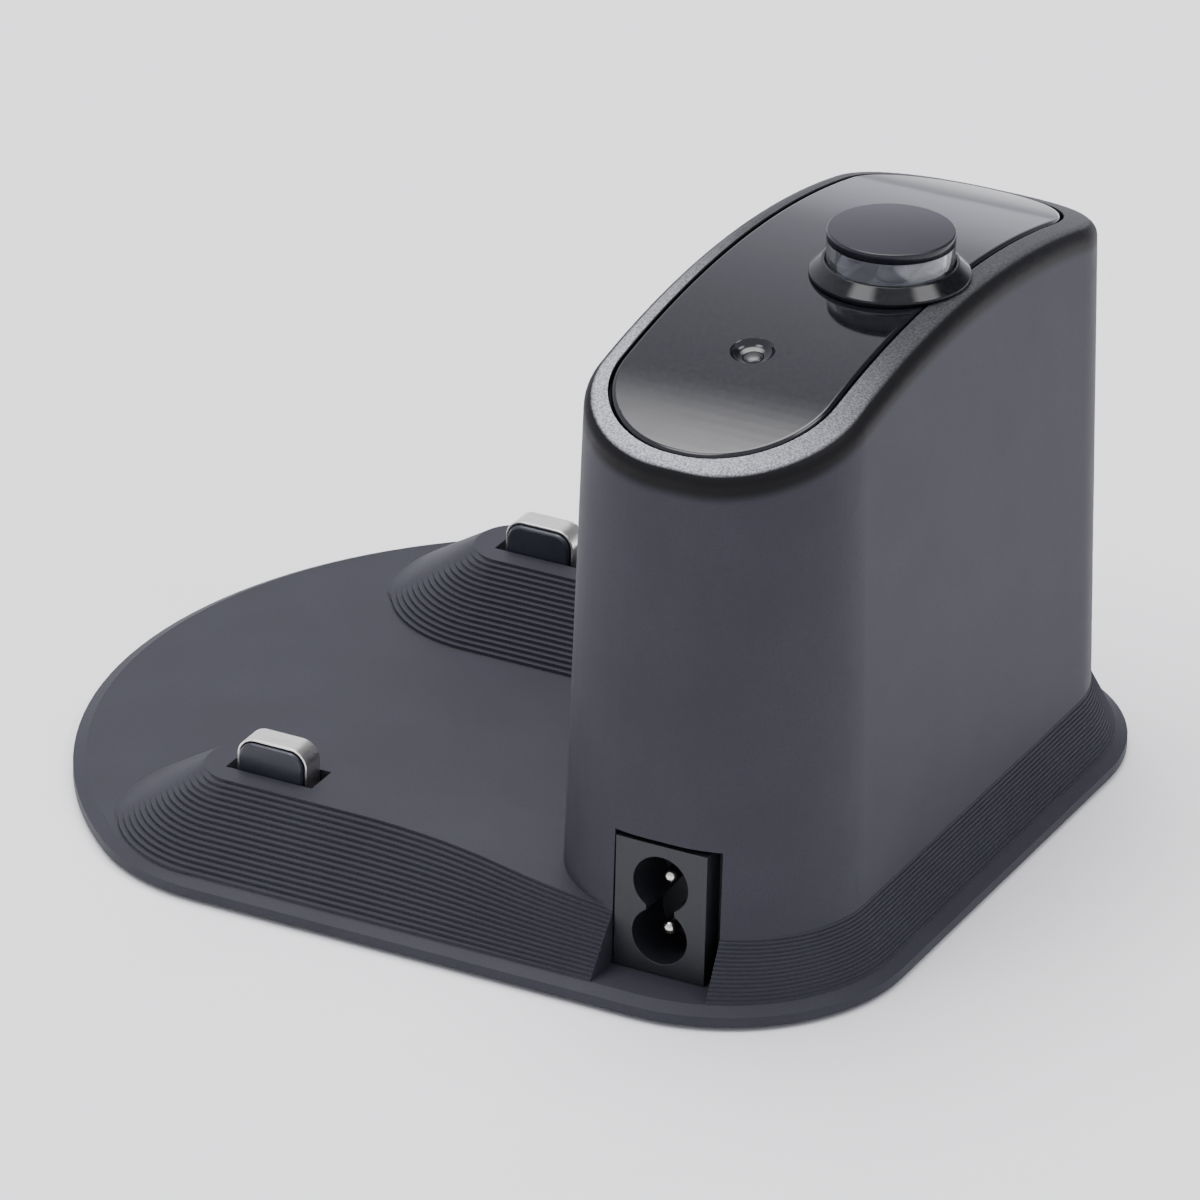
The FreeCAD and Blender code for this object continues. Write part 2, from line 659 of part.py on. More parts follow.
def beacon_emitters():
    """Ring of domed emitter diodes on the board, one of them at the front."""
    diodes = []
    count = int(m.emitter_count)
    foot = "beacon_floor + beacon_board_thickness"
    for index in range(count):
        angle = 2 * math.pi * index / count - math.pi / 2
        x = f"emitter_ring * {math.cos(angle):.6f}"
        y = f"beacon_y + emitter_ring * {math.sin(angle):.6f}"
        profile = [(0, 0), ("emitter_radius", 0), ("emitter_radius", "emitter_height - emitter_radius"),
                   ("emitter_radius * 5 / 6", "emitter_height - emitter_radius * 4 / 9"),
                   ("emitter_radius / 2", "emitter_height - emitter_radius / 8"), (0, "emitter_height")]
        diodes.append(turned(f"emitter_{index}", profile, x, y, foot))
    return group("beacon_emitters", *diodes)


# Charging contacts

def contact_core(side, x):
    """Black plunger: a round-ended block with a bevelled top over a wide retaining flange."""
    height = "contact_z - strap_thickness - strap_fit - core_z"
    bar = box("core_bar_" + side, "core_width", "core_length", height, x, "contact_y", "core_z")
    ends = rounded("core_ends_" + side, bar, m.core_corner, lambda edge: is_top_edge(edge, Vector(1, 0, 0)))
    doc.recompute()
    bevel = doc.addObject("Part::Chamfer", "core_bevel_" + side)
    bevel.Base = ends
    rim = [index for index, edge in enumerate(ends.Shape.Edges, start=1) if is_core_rim(edge)]
    bevel.Edges = [(index, m.core_bevel, m.core_bevel) for index in rim]
    flange = box("core_flange_" + side, "flange_width", "flange_length", "flange_thickness", x, "contact_y",
                 "flange_z")
    return fuse("contact_core_" + side, bevel, flange)


def is_top_edge(edge, direction):
    """True for a straight edge in a direction in the upper part of a contact."""
    return is_along(edge, direction) and edge.CenterOfMass.z > m.plateau_z


def is_core_rim(edge):
    """True for the top edges on the two long faces of a core, its round corners included."""
    level = all(abs(vertex.X - edge.Vertexes[0].X) < 1e-6 for vertex in edge.Vertexes)
    return level and edge.CenterOfMass.z > m.plateau_z + m.contact_rise / 2 and not is_along(edge, UP)


def contact_strap(side, x):
    """Bent metal strap: an upturned U over the core, its feet on the flange."""
    height = "contact_z - core_z"
    outer = box("strap_outer_" + side, "strap_width", "strap_length", height, x, "contact_y", "core_z")
    inner = box("strap_inner_" + side, "strap_width * 2", "strap_inner", height, x, "contact_y",
                "core_z - strap_thickness")
    across = Vector(1, 0, 0)
    skin = rounded("strap_skin_" + side, outer, m.strap_corner, lambda edge: is_top_edge(edge, across))
    room = rounded("strap_room_" + side, inner, m.inner_corner, lambda edge: is_top_edge(edge, across))
    return cut("contact_strap_" + side, skin, room)


def contact_spring(side, x):
    """Coil of square wire between the bottom cover and the flange, round a locating post."""
    helix = Part.makeHelix(m.spring_height / m.spring_turns, m.spring_height, m.spring_radius)
    half = m.spring_wire / 2
    section = [Vector(m.spring_radius + sx * half, 0, sz * half) for sx, sz in CORNERS]
    coil = Part.Wire(helix.Edges).makePipeShell([Part.makePolygon(section + section[:1])], True, True)
    return place(shaped("contact_spring_" + side, coil), x, "contact_y", "cover_z + spring_end")


# Mains inlet

def inlet_body():
    """Moulded inlet: a face plate, a flange inside the wall and a socket of two joined rounds."""
    face = box("inlet_face", "inlet_depth", "inlet_width", "inlet_height", "inlet_x - inlet_depth / 2",
               "inlet_y", "inlet_z - inlet_height / 2")
    flange_x = "inlet_x - inlet_flange_back - inlet_flange_thickness / 2"
    flange_high = "inlet_z + inlet_height / 2 + inlet_flange - cover_z"
    flange_wide = "inlet_width + 2 * inlet_flange"
    flange = box("inlet_flange_plate", "inlet_flange_thickness", flange_wide, flange_high, flange_x,
                 "inlet_y", "cover_z")
    along = Vector(1, 0, 0)
    tools = [box("socket_waist_slot", "socket_depth * 2", "socket_waist", "pin_pitch", "inlet_x", "inlet_y",
                 "inlet_z - pin_pitch / 2")]
    for index, sign in enumerate((-1, 1)):
        z = f"inlet_z + {sign} * pin_pitch / 2"
        tools.append(rod("socket_round_%d" % index, "socket_radius", "socket_depth * 2",
                         "inlet_x - socket_depth", "inlet_y", z, along))
        tools.append(rod("pin_hole_%d" % index, "pin_radius + screw_clearance", "inlet_depth * 2",
                         "inlet_x - inlet_depth * 3 / 2", "inlet_y", z, along))
    return cut("inlet_body", fuse("inlet_block", face, flange), *tools)


def inlet_pins():
    """Two round pins with ball ends, one over the other."""
    pins = []
    for index, sign in enumerate((-1, 1)):
        z = f"inlet_z + {sign} * pin_pitch / 2"
        length = "inlet_depth + pin_tail - pin_setback - pin_radius"
        start = "inlet_x - inlet_depth - pin_tail"
        shank = rod("pin_shank_%d" % index, "pin_radius", length, start, "inlet_y", z, Vector(1, 0, 0))
        tip = ball("pin_tip_%d" % index, "pin_radius", "inlet_x - pin_setback - pin_radius", "inlet_y", z)
        pins.append(fuse("pin_%d" % index, shank, tip))
    return group("inlet_pins", *pins)


# Underside

def bottom_cover():
    """Cover plate with board standoffs, spring posts, countersunk holes and seats for the back feet."""
    plate = shaped("cover_plate", cover_prism(0, m.base_z, m.cover_thickness))
    solids = [plate]
    tools = []
    for index, (sx, sy) in enumerate(CORNERS):
        x, y = board_hole(sx, sy)
        solids.append(rod("standoff_%d" % index, "standoff_radius", "board_lift + cover_thickness / 2", x, y,
                          "base_z + cover_thickness / 2"))
        tools.append(rod("standoff_pilot_%d" % index, "pilot", "board_lift", x, y,
                         "cover_z + standoff_floor"))
    for name, sign in (("left", -1), ("right", 1)):
        solids.append(rod("spring_post_" + name, "post_radius", "post_height + cover_thickness / 2",
                          f"{sign} * mound_x", "contact_y", "base_z + cover_thickness / 2"))
        tools.append(rod("foot_seat_" + name, "foot_radius + clearance", "foot_recess * 2",
                         f"{sign} * back_foot_x", "back_foot_y", "base_z - foot_recess"))
        for kind, (x, y) in screw_places(sign).items():
            tools.append(rod(f"{kind}_hole_{name}", "pilot", "cover_thickness * 3", x, y,
                             "base_z - cover_thickness"))
            tools.append(cone(f"{kind}_sink_{name}", "screw_head + screw_clearance", "pilot",
                              "screw_head - screw_radius", x, y, "base_z"))
    return cut("bottom_cover", fuse("cover_solid", *solids), *tools)


def board_hole(sx, sy):
    """Place of a board screw."""
    return f"board_x + {sx} * hole_x", f"tower_y + {sy} * hole_y"


def screw_places(sign):
    """Places of the cover screws on one side."""
    return {"boss": (f"{sign} * boss_x", "boss_y"), "mound": (f"{sign} * mound_screw_x", "mound_screw_y")}


def rubber_feet():
    """Four thin pads, two in the housing and two in the cover."""
    spots = [("front_foot_x", "front_foot_y"), ("back_foot_x", "back_foot_y")]
    feet = []
    for index, (x, y) in enumerate(spots):
        for sign in (-1, 1):
            feet.append(rod(f"foot_{index}_{sign + 1}", "foot_radius", "foot_stand + foot_recess",
                            f"{sign} * {x}", y))
    return group("rubber_feet", *feet)


def cover_screws():
    """Countersunk screws: long ones into the tower's posts, short ones into the mounds."""
    lengths = {"boss": "screw_length", "mound": "short_screw_length"}
    screws = []
    for sign in (-1, 1):
        for kind, (x, y) in screw_places(sign).items():
            length = lengths[kind]
            profile = [(0, 0), ("screw_head", 0), ("screw_radius", "screw_head - screw_radius"),
                       ("screw_radius", length), (0, length)]
            screws.append(turned(f"{kind}_screw_{sign + 1}", profile, x, y, "base_z"))
    return group("cover_screws", *screws)


# Power supply

def power_board():
    """Circuit board on the standoffs."""
    plate = box("board_plate", "board_length", "board_width", "board_thickness", "board_x", "tower_y",
                "board_z")
    holes = [rod("board_hole_%d" % index, "pilot", "board_thickness * 3", *board_hole(sx, sy),
                 "board_z - board_thickness") for index, (sx, sy) in enumerate(CORNERS)]
    return cut("power_board", plate, *holes)


def board_screws():
    """Pan head screws in the board's corners."""
    top = "board_screw_length + board_screw_top"
    profile = [(0, 0), ("screw_radius", 0), ("screw_radius", "board_screw_length"),
               ("board_screw_head", "board_screw_length"), ("board_screw_head", top), (0, top)]
    screws = [turned("board_screw_%d" % index, profile, *board_hole(sx, sy), "part_z - board_screw_length")
              for index, (sx, sy) in enumerate(CORNERS)]
    return group("board_screws", *screws)


def transformer():
    """Ferrite core with its taped winding standing out at both sides."""
    core = box("ferrite", "transformer_length", "transformer_width", "transformer_height", "transformer_x",
               "tower_y", "part_z")
    winding_wide = "transformer_width + 2 * winding_over"
    winding_high = "transformer_height - 2 * winding_drop"
    winding = box("winding", "winding_length", winding_wide, winding_high, "transformer_x", "tower_y",
                  "part_z + winding_drop")
    return fuse("transformer", core, winding)


def can_profile(radius, height):
    """Aluminium can with a crimp groove near its foot."""
    return [(0, 0), (radius, 0), (radius, "crimp_height - crimp"), (radius + " - crimp", "crimp_height"),
            (radius, "crimp_height + crimp"), (radius, height + " - crimp"), (radius + " - crimp", height),
            (0, height)]


def bulk_capacitor():
    """Large mains capacitor standing on the board."""
    return turned("bulk_capacitor", can_profile("bulk_radius", "bulk_height"), "bulk_x",
                  "tower_y + edge_row", "part_z")


def output_capacitors():
    """Pair of small capacitors at the output end."""
    cans = [turned("output_can_%d" % index, can_profile("output_radius", "output_height"), "output_x",
                   f"tower_y + {sign} * output_pitch / 2", "part_z") for index, sign in enumerate((-1, 1))]
    return group("output_capacitors", *cans)


def line_choke():
    """Ring core choke lying on the board."""
    low = "choke_bevel"
    high = "choke_height - choke_bevel"
    profile = [
        ("choke_bore", low), ("choke_bore + choke_bevel", 0), ("choke_radius - choke_bevel", 0),
        ("choke_radius", low), ("choke_radius", high), ("choke_radius - choke_bevel", "choke_height"),
        ("choke_bore + choke_bevel", "choke_height"), ("choke_bore", high)]
    return turned("line_choke", profile, "choke_x", "tower_y + choke_y", "part_z")


def line_fuse():
    """Glass tube fuse between two end caps."""
    along = Vector(1, 0, 0)
    row = "tower_y - edge_row"
    z = "part_z + fuse_cap"
    start = "fuse_x - fuse_length / 2"
    end = "fuse_x + fuse_length / 2 - fuse_cap_length"
    tube = rod("fuse_tube", "fuse_radius", "fuse_length", start, row, z, along)
    near = rod("fuse_cap_near", "fuse_cap", "fuse_cap_length", end, row, z, along)
    far = rod("fuse_cap_far", "fuse_cap", "fuse_cap_length", start, row, z, along)
    return fuse("line_fuse", tube, near, far)


def heat_sink():
    """Upright plate with fins."""
    row = "tower_y - edge_row"
    span = "(sink_fins - 1) * sink_pitch"
    web_x = "sink_x - sink_length / 2 + sink_fin / 2"
    web = box("sink_web", "sink_fin", f"{span} + sink_fin", "sink_height", web_x, row, "part_z")
    fins = [box("sink_fin_%d" % index, "sink_length", "sink_fin", "sink_height", "sink_x",
                f"{row} + {index} * sink_pitch - {span} / 2", "part_z") for index in range(int(m.sink_fins))]
    return fuse("heat_sink", web, *fins)


# Assembly

BUILD = [
    upper_housing, top_lid, indicator_lens,
    beacon_skirt, beacon_ring, beacon_cap, beacon_board, beacon_emitters,
    inlet_body, inlet_pins,
    bottom_cover, rubber_feet, cover_screws,
    power_board, board_screws, transformer, bulk_capacitor, output_capacitors, line_choke, line_fuse,
    heat_sink,
]


def make_pieces():
    """Build every piece once, and the contacts on both sides."""
    made = [make() for make in BUILD]
    for side, sign in (("left", -1), ("right", 1)):
        made.append(contact_core(side, f"{sign} * mound_x"))
        made.append(contact_strap(side, f"{sign} * mound_x"))
        made.append(contact_spring(side, f"{sign} * mound_x"))
    doc.recompute()
    return {item.Name: item for item in made}


def check_pieces(pieces):
    """Stop if an object failed or a piece has no valid shape."""
    for item in doc.Objects:
        if "Invalid" in item.State or "Error" in item.State:
            raise RuntimeError("failed object: " + item.Name)
    for name, item in pieces.items():
        if item.Shape.isNull() or not item.Shape.isValid():
            raise RuntimeError("bad shape: " + name)


def write_pieces(pieces):
    """Write each piece to a file of its own name."""
    os.makedirs("parts", exist_ok=True)
    for name, item in pieces.items():
        item.Label = name
        item.Shape.exportStep("parts/%s.step" % name)
        print(name, len(item.Shape.Solids), "solids", round(item.Shape.Volume, 1), "mm3")


pieces = make_pieces()
check_pieces(pieces)
write_pieces(pieces)
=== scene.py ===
"""Looks of a robot vacuum charging dock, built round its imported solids."""

import logging
import math
from dataclasses import dataclass, field
from enum import Enum
from typing import Any, Callable, Iterable, Sequence

import bmesh
import bpy
from bmesh.types import BMEdge, BMesh, BMVert
from bpy.types import Material, NodeSocket, NodeTree, Object
from mathutils import Matrix, Vector


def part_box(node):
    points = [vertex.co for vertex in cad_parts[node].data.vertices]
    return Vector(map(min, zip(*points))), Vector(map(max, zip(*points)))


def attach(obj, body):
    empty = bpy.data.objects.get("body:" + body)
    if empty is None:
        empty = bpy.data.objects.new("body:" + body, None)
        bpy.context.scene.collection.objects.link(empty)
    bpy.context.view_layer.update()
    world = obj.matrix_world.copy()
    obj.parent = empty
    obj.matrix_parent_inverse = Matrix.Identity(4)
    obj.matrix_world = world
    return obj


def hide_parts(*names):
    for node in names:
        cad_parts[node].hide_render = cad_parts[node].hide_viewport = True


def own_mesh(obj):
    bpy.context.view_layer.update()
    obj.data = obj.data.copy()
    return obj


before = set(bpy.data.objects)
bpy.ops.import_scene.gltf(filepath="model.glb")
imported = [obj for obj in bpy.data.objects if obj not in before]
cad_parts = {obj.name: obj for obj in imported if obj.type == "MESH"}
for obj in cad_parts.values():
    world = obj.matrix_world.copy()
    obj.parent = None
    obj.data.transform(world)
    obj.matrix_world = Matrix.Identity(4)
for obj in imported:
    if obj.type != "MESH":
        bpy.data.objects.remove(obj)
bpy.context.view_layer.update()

MM = 0.001
UP = Vector((0, 0, 1))
# The tower's top is an arch that falls towards both ends of the dock. Its axis lies along Y.
ARCH_RADIUS = 170.0
ARCH_TOP = 95.3
# Points closer than this become one point, and faces flatter than this to each other one face.
WELD_MM = 0.001
FLAT_DEGREES = 0.4
# A face looks along an axis when its normal has more than this share of it.
FACING = 0.9
# The middle of an area light, in its own coordinates from 0 to 1.
LIGHT_MIDDLE = (0.5, 0.5, 0.0)
Profile = Sequence[tuple[float, float]]
log = logging.getLogger("charging_dock")


class Side(Enum):
    """The two charging contacts, named as seen from the front."""

    LEFT = "left"
    RIGHT = "right"


class Relief(Enum):
    """Strength of a surface's fine relief."""

    NONE = 0.0
    WAVY = 0.02
    FLOW = 0.08
    DRAWN = 0.12
    TRACKS = 0.3
    SATIN = 0.35
    WOUND = 0.4
    COARSE = 0.6


class Pattern(Enum):
    """Pattern of a surface: its node, the scale that gives it a size of one, its inputs and its settings."""

    NOISE = ("TexNoise", 1.0, {"Detail": 3.0}, {})
    SOFT_NOISE = ("TexNoise", 1.0, {"Detail": 2.0}, {})
    BANDS = ("TexWave", math.pi / 10, {"Distortion": 0.4}, {"bands_direction": "Z"})
    JOINTS = ("TexBrick", 1 / 8, {"Mortar Size": 0.03}, {})


# Small tools

def linear(colour: str) -> tuple[float, float, float, float]:
    """Turn an sRGB hex colour to linear values.

    Args:
        colour: Six hex digits after a hash.

    Returns:
        Linear red, green and blue, with an alpha of one.
    """
    parts = [int(colour[index:index + 2], 16) / 255 for index in (1, 3, 5)]
    lit = [c / 12.92 if c <= 0.04045 else ((c + 0.055) / 1.055) ** 2.4 for c in parts]
    return lit[0], lit[1], lit[2], 1.0


def feed(tree: NodeTree, node: Any, inputs: dict[Any, Any]) -> None:
    """Set or link inputs of a node.

    Args:
        tree: The node tree.
        node: The node.
        inputs: Socket name or index to a value, or to an output to link from.
    """
    for name, value in inputs.items():
        if isinstance(value, NodeSocket):
            tree.links.new(value, node.inputs[name])
        else:
            node.inputs[name].default_value = value


def add(
    tree: NodeTree, kind: str, inputs: dict[Any, Any] | None = None,
    stops: Iterable[tuple[float, str]] = (), **settings: Any,
) -> Any:
    """Add a node with its settings, values and links.

    Args:
        tree: The node tree.
        kind: The node's type without its "ShaderNode" prefix.
        inputs: Socket name or index to a value, or to an output to link from.
        stops: Position and hex colour of both stops, where the node has a colour ramp.
        settings: The node's own properties.

    Returns:
        The new node.
    """
    node = tree.nodes.new("ShaderNode" + kind)
    for name, value in settings.items():
        setattr(node, name, value)
    feed(tree, node, inputs or {})
    for index, (position, colour) in enumerate(stops):
        node.color_ramp.elements[index].position = position
        node.color_ramp.elements[index].color = linear(colour)
    return node


def fade(
    tree: NodeTree, value: NodeSocket, start: float, end: float, low: float = 0.0, high: float = 1.0,
) -> NodeSocket:
    """Add a smooth step between two levels.

    Args:
        tree: The node tree.
        value: What the step follows.
        start: Value at which it starts.
        end: Value at which it ends.
        low: Level before the start.
        high: Level after the end.

    Returns:
        The level.
    """
    return add(tree, "MapRange", {
        "Value": value, "From Min": start, "From Max": end, "To Min": low, "To Max": high},
        interpolation_type="SMOOTHSTEP").outputs[0]


def dot(tree: NodeTree, place: NodeSocket, way: Sequence[float]) -> NodeSocket:
    """Add a dot product: how far a place lies along a direction."""
    return add(tree, "VectorMath", {0: place, 1: way}, operation="DOT_PRODUCT").outputs["Value"]


def per_metre(size_mm: float) -> float:
    """Texture scale that gives a pattern of a real size."""
    return 1 / (size_mm * MM)


def cosine(angle: float) -> float:
    """Cosine of an angle in degrees."""
    return math.cos(math.radians(angle))


def arch_fall(x: float) -> float:
    """Drop of the arch below its crown at a distance from the middle, in metres."""
    radius = ARCH_RADIUS * MM
    return radius - math.sqrt(radius ** 2 - x ** 2)


# Finishes

@dataclass(frozen=True)
class Finish:
    """A surface whose tint, gloss and relief follow a pattern of a real size.

    Clouds, where it has them, blend into the tint and take over the gloss, and waves take over the relief.
    """

    name: str
    colour: str
    light: str
    roughness: float
    size_mm: float
    stretch: tuple[float, float, float] = (1.0, 1.0, 1.0)
    pattern: Pattern = Pattern.NOISE
    stops: tuple[float, float] = (0.3, 0.7)
    gloss: tuple[float, float] = (1.0, 1.0)
    gloss_span: tuple[float, float] = (0.0, 1.0)
    relief: Relief = Relief.NONE
    relief_depth: float = 0.2
    cloud_mm: float = 0.0
    wave_mm: float = 0.0
    ior: float = 1.5
    specular: float = 0.5
    metallic: float = 0.0
    clear: float = 0.0

    def patterns(self, tree: NodeTree, place: NodeSocket) -> tuple[NodeSocket, NodeSocket, NodeSocket]:
        """Add the pattern, and clouds and waves where the surface has them.

        Args:
            tree: The material's tree.
            place: The object's own coordinates.

        Returns:
            Patterns of the tint, the gloss and the relief.
        """
        kind, scale, inputs, settings = self.pattern.value
        drawn = add(tree, "Mapping", {"Vector": place, "Scale": self.stretch})
        tint = gloss = relief = add(tree, kind, {
            "Vector": drawn.outputs[0], "Scale": per_metre(self.size_mm) * scale, **inputs},
            **settings).outputs["Fac"]
        if self.cloud_mm:
            gloss = add(tree, "TexNoise", {
                "Vector": place, "Scale": per_metre(self.cloud_mm), "Detail": 4.0}).outputs["Fac"]
            tint = add(tree, "Math", {0: relief, 1: gloss}, operation="MULTIPLY").outputs[0]
        if self.wave_mm:
            relief = add(tree, "TexNoise", {
                "Vector": place, "Scale": per_metre(self.wave_mm), "Detail": 1.0}).outputs["Fac"]
        return tint, gloss, relief

    def bump(self, tree: NodeTree, height: NodeSocket) -> NodeSocket:
        """Add the surface's fine relief."""
        strength, depth = self.relief.value, self.size_mm * MM * self.relief_depth
        return add(tree, "Bump", {"Strength": strength, "Distance": depth, "Height": height}).outputs[0]

    def inputs(self, tree: NodeTree, place: NodeSocket) -> dict[str, Any]:
        """Work out what the main shader gets.

        Args:
            tree: The material's tree.
            place: The object's own coordinates.

        Returns:
            Input name to a value, or to an output to link from.
        """
        tint, gloss, relief = self.patterns(tree, place)
        ramp = add(tree, "ValToRGB", {"Fac": tint}, zip(self.stops, (self.colour, self.light)))
        given = {
            "Base Color": ramp.outputs["Color"], "Roughness": self.roughness, "IOR": self.ior,
            "Specular IOR Level": self.specular, "Metallic": self.metallic,
            "Transmission Weight": self.clear}
        if self.gloss[0] != self.gloss[1]:
            low, high = (self.roughness * share for share in self.gloss)
            given["Roughness"] = add(tree, "MapRange", {
                "Value": gloss, "From Min": self.gloss_span[0], "From Max": self.gloss_span[1],
                "To Min": low, "To Max": high}).outputs[0]
        if self.relief is not Relief.NONE:
            given["Normal"] = self.bump(tree, relief)
        return given

    def material(self) -> Material:
        """Build the material.

        Returns:
            The new material.
        """
        material = bpy.data.materials.new(self.name)
        material.use_nodes = True
        tree = material.node_tree
        place = add(tree, "TexCoord").outputs["Object"]
        feed(tree, tree.nodes["Principled BSDF"], self.inputs(tree, place))
        return material


@dataclass(frozen=True)
class Moulding(Finish):
    """Injection moulded plastic: an even colour under a fine grain that breaks up its gloss."""

    pattern: Pattern = Pattern.SOFT_NOISE
    stops: tuple[float, float] = (0.1, 0.45)
    gloss: tuple[float, float] = (0.92, 1.08)
    gloss_span: tuple[float, float] = (0.3, 0.7)
    relief: Relief = Relief.SATIN
    relief_depth: float = 0.12
    cloud_mm: float = 14.0
    ior: float = 1.53


@dataclass(frozen=True)
class RimmedMoulding(Moulding):
    """The housing's plastic: satin walls, a grained band round the lid painted pale as a highlight, and its
    rounding painted dark as shade.
    """

    relief_depth: float = 0.15
    # The band's grain is real; its pale colours are a painted highlight.
    sheen_band_dark: str = "#6c6d72"
    sheen_band_light: str = "#b4b5b9"
    band_stops: tuple[float, float] = (0.36, 0.66)
    band_grain_mm: float = 0.3
    band_roughness: float = 0.42
    band_end: float = 0.45
    band_fade: float = 0.32
    # Painted shade: the rounding below the band is painted near black.
    painted_shade_colour: str = "#08080b"
    shade_end: float = 2.4
    shade_fade: float = 1.92
    # Direction, span and least share of the band's painted highlight.
    sheen_way: tuple[float, float, float] = (0.8, -0.6, 0.0)
    sheen_from: float = -24.0
    sheen_to: float = 22.0
    sheen_least: float = 0.12

    @staticmethod
    def zone(tree: NodeTree, reach: NodeSocket, depth: float, width: float) -> NodeSocket:
        """Mask that is one above a depth under the arch and fades to nothing over a width below it."""
        return fade(tree, reach, (ARCH_RADIUS - depth - width) * MM, (ARCH_RADIUS - depth) * MM)

    def inputs(self, tree: NodeTree, place: NodeSocket) -> dict[str, Any]:
        """Work out what the main shader gets, with the painted highlight band and the painted shade rounding
        told apart by the distance from the arch's axis.

        Args:
            tree: The material's tree.
            place: The object's own coordinates.

        Returns:
            Input name to a value, or to an output to link from.
        """
        apart = add(tree, "SeparateXYZ", {0: place})
        lowered = add(tree, "Math", {
            0: apart.outputs["Z"], 1: (ARCH_TOP - ARCH_RADIUS) * MM}, operation="SUBTRACT")
        flat = add(tree, "CombineXYZ", {"X": apart.outputs["X"], "Z": lowered.outputs[0]})
        reach = add(tree, "VectorMath", {0: flat.outputs[0]}, operation="LENGTH").outputs["Value"]
        # The band's painted highlight is palest towards the inlet's end and the front.
        painted_sheen_side = fade(
            tree, dot(tree, place, self.sheen_way), self.sheen_from * MM, self.sheen_to * MM, self.sheen_least)
        level = self.zone(tree, reach, self.band_end - self.band_fade, self.band_fade)
        painted_sheen_zone = add(tree, "Math", {0: level, 1: painted_sheen_side}, operation="MULTIPLY").outputs[0]
        # Painted shade on the rounding, under the band.
        painted_shade_zone = self.zone(tree, reach, self.shade_end, self.shade_fade)
        mixed, _, fine = self.patterns(tree, place)
        speck = add(tree, "TexNoise", {
            "Vector": place, "Scale": per_metre(self.band_grain_mm), "Detail": 3.0}).outputs["Fac"]
        wall = add(tree, "ValToRGB", {"Fac": mixed}, zip(self.stops, (self.colour, self.light)))
        band = add(tree, "ValToRGB", {"Fac": speck}, zip(self.band_stops, (self.sheen_band_dark, self.sheen_band_light)))
        # A mixing node has several sockets of one name, so these go by number.
        shaded_wall = add(tree, "Mix", {
            0: painted_shade_zone, 6: wall.outputs["Color"], 7: linear(self.painted_shade_colour)}, data_type="RGBA")
        # The band's painted highlight goes over the walls and the painted shade.
        tint = add(tree, "Mix", {
            0: painted_sheen_zone, 6: shaded_wall.outputs[2], 7: band.outputs["Color"]}, data_type="RGBA")
        gloss = add(tree, "Mix", {0: painted_sheen_zone, 2: self.roughness, 3: self.band_roughness})
        height = add(tree, "Mix", {0: painted_sheen_zone, 2: fine, 3: speck})
        return {
            "Base Color": tint.outputs[2], "Roughness": gloss.outputs[0],
            "Normal": self.bump(tree, height.outputs[0]), "IOR": self.ior,
            "Specular IOR Level": self.specular}


@dataclass(frozen=True)
class GlossBlack(Finish):
    """Polished black plastic: deep, mirror-like, with fine dust and the faint waviness of a moulded skin."""

    stops: tuple[float, float] = (0.35, 0.8)
    gloss: tuple[float, float] = (1.0, 1.5)
    gloss_span: tuple[float, float] = (0.4, 0.8)
    relief: Relief = Relief.WAVY
    relief_depth: float = 1.25
    wave_mm: float = 9.0


@dataclass(frozen=True)
class ClearPlastic(Finish):
    """Clear plastic: bright edges, faint grey body and tiny flow marks."""

    pattern: Pattern = Pattern.SOFT_NOISE
    relief: Relief = Relief.FLOW
    relief_depth: float = 0.12
    ior: float = 1.58


@dataclass(frozen=True)
class Metal(Finish):
    """Plated or drawn metal: fine lines along one axis and slightly uneven polish."""

    stops: tuple[float, float] = (0.3, 0.6)
    gloss: tuple[float, float] = (0.8, 1.3)
    relief: Relief = Relief.DRAWN
    metallic: float = 1.0


@dataclass(frozen=True)
class Banded(Finish):
    """Wound or wrapped part: bands round it along one axis, such as wire turns or tape laps."""

    pattern: Pattern = Pattern.BANDS
    stops: tuple[float, float] = (0.1, 0.5)
    relief: Relief = Relief.WOUND


@dataclass(frozen=True)
class SolderMask(Finish):
    """Solder mask over copper tracks: gloss film with paler lines where the copper runs."""

    pattern: Pattern = Pattern.JOINTS
    stops: tuple[float, float] = (0.0, 1.0)
    relief: Relief = Relief.TRACKS
    relief_depth: float = 0.05 / 2.2


# Stretch of the lines along an axis, and the dust that shows on black.
ALONG_X = (0.05, 1.0, 1.0)
ALONG_Y = (1.0, 0.04, 1.0)
DUST = "#17181b"
# Satin ABS with a blue-grey cast: dark, soft highlights on the walls, a painted pale highlight on the grain
# round the top, and painted dark shade on the rounding below it.
HOUSING_ABS = RimmedMoulding("abs_moulded_satin_charcoal", "#2f2f35", "#35353c", 0.55, 0.35, specular=0.15)
# Polished ABS: a black mirror that shows the lights and the dome.
LID_ABS = GlossBlack("abs_polished_black", "#0a0b10", DUST, 0.06, 0.8)
SKIRT_ABS = GlossBlack("abs_polished_black_collar", "#07070a", DUST, 0.09, 0.8, specular=0.34)
# Satin black ABS: the cap shows only a broad dull sheen.
CAP_ABS = Moulding("abs_moulded_black_cap", "#17171d", "#1d1d24", 0.26, 0.3, specular=0.32)
# Clear polycarbonate: the ring lets the diodes show and catches light on its edges.
RING_PC = ClearPlastic("polycarbonate_moulded_clear", "#d4d6da", "#eceef0", 0.05, 2.5, clear=0.97)
# Smoked polycarbonate: the indicator's lens is a dark drop with one soft highlight.
LENS_PC = ClearPlastic("polycarbonate_moulded_smoked_lens", "#1c1d21", "#2a2b30", 0.3, 2.5, clear=0.5)
# Clear epoxy: diode bodies with a faint violet tint.
EMITTER_EPOXY = ClearPlastic("epoxy_cast_diode", "#cfc9dc", "#f0eef4", 0.05, 2.5, ior=1.52, clear=0.55)
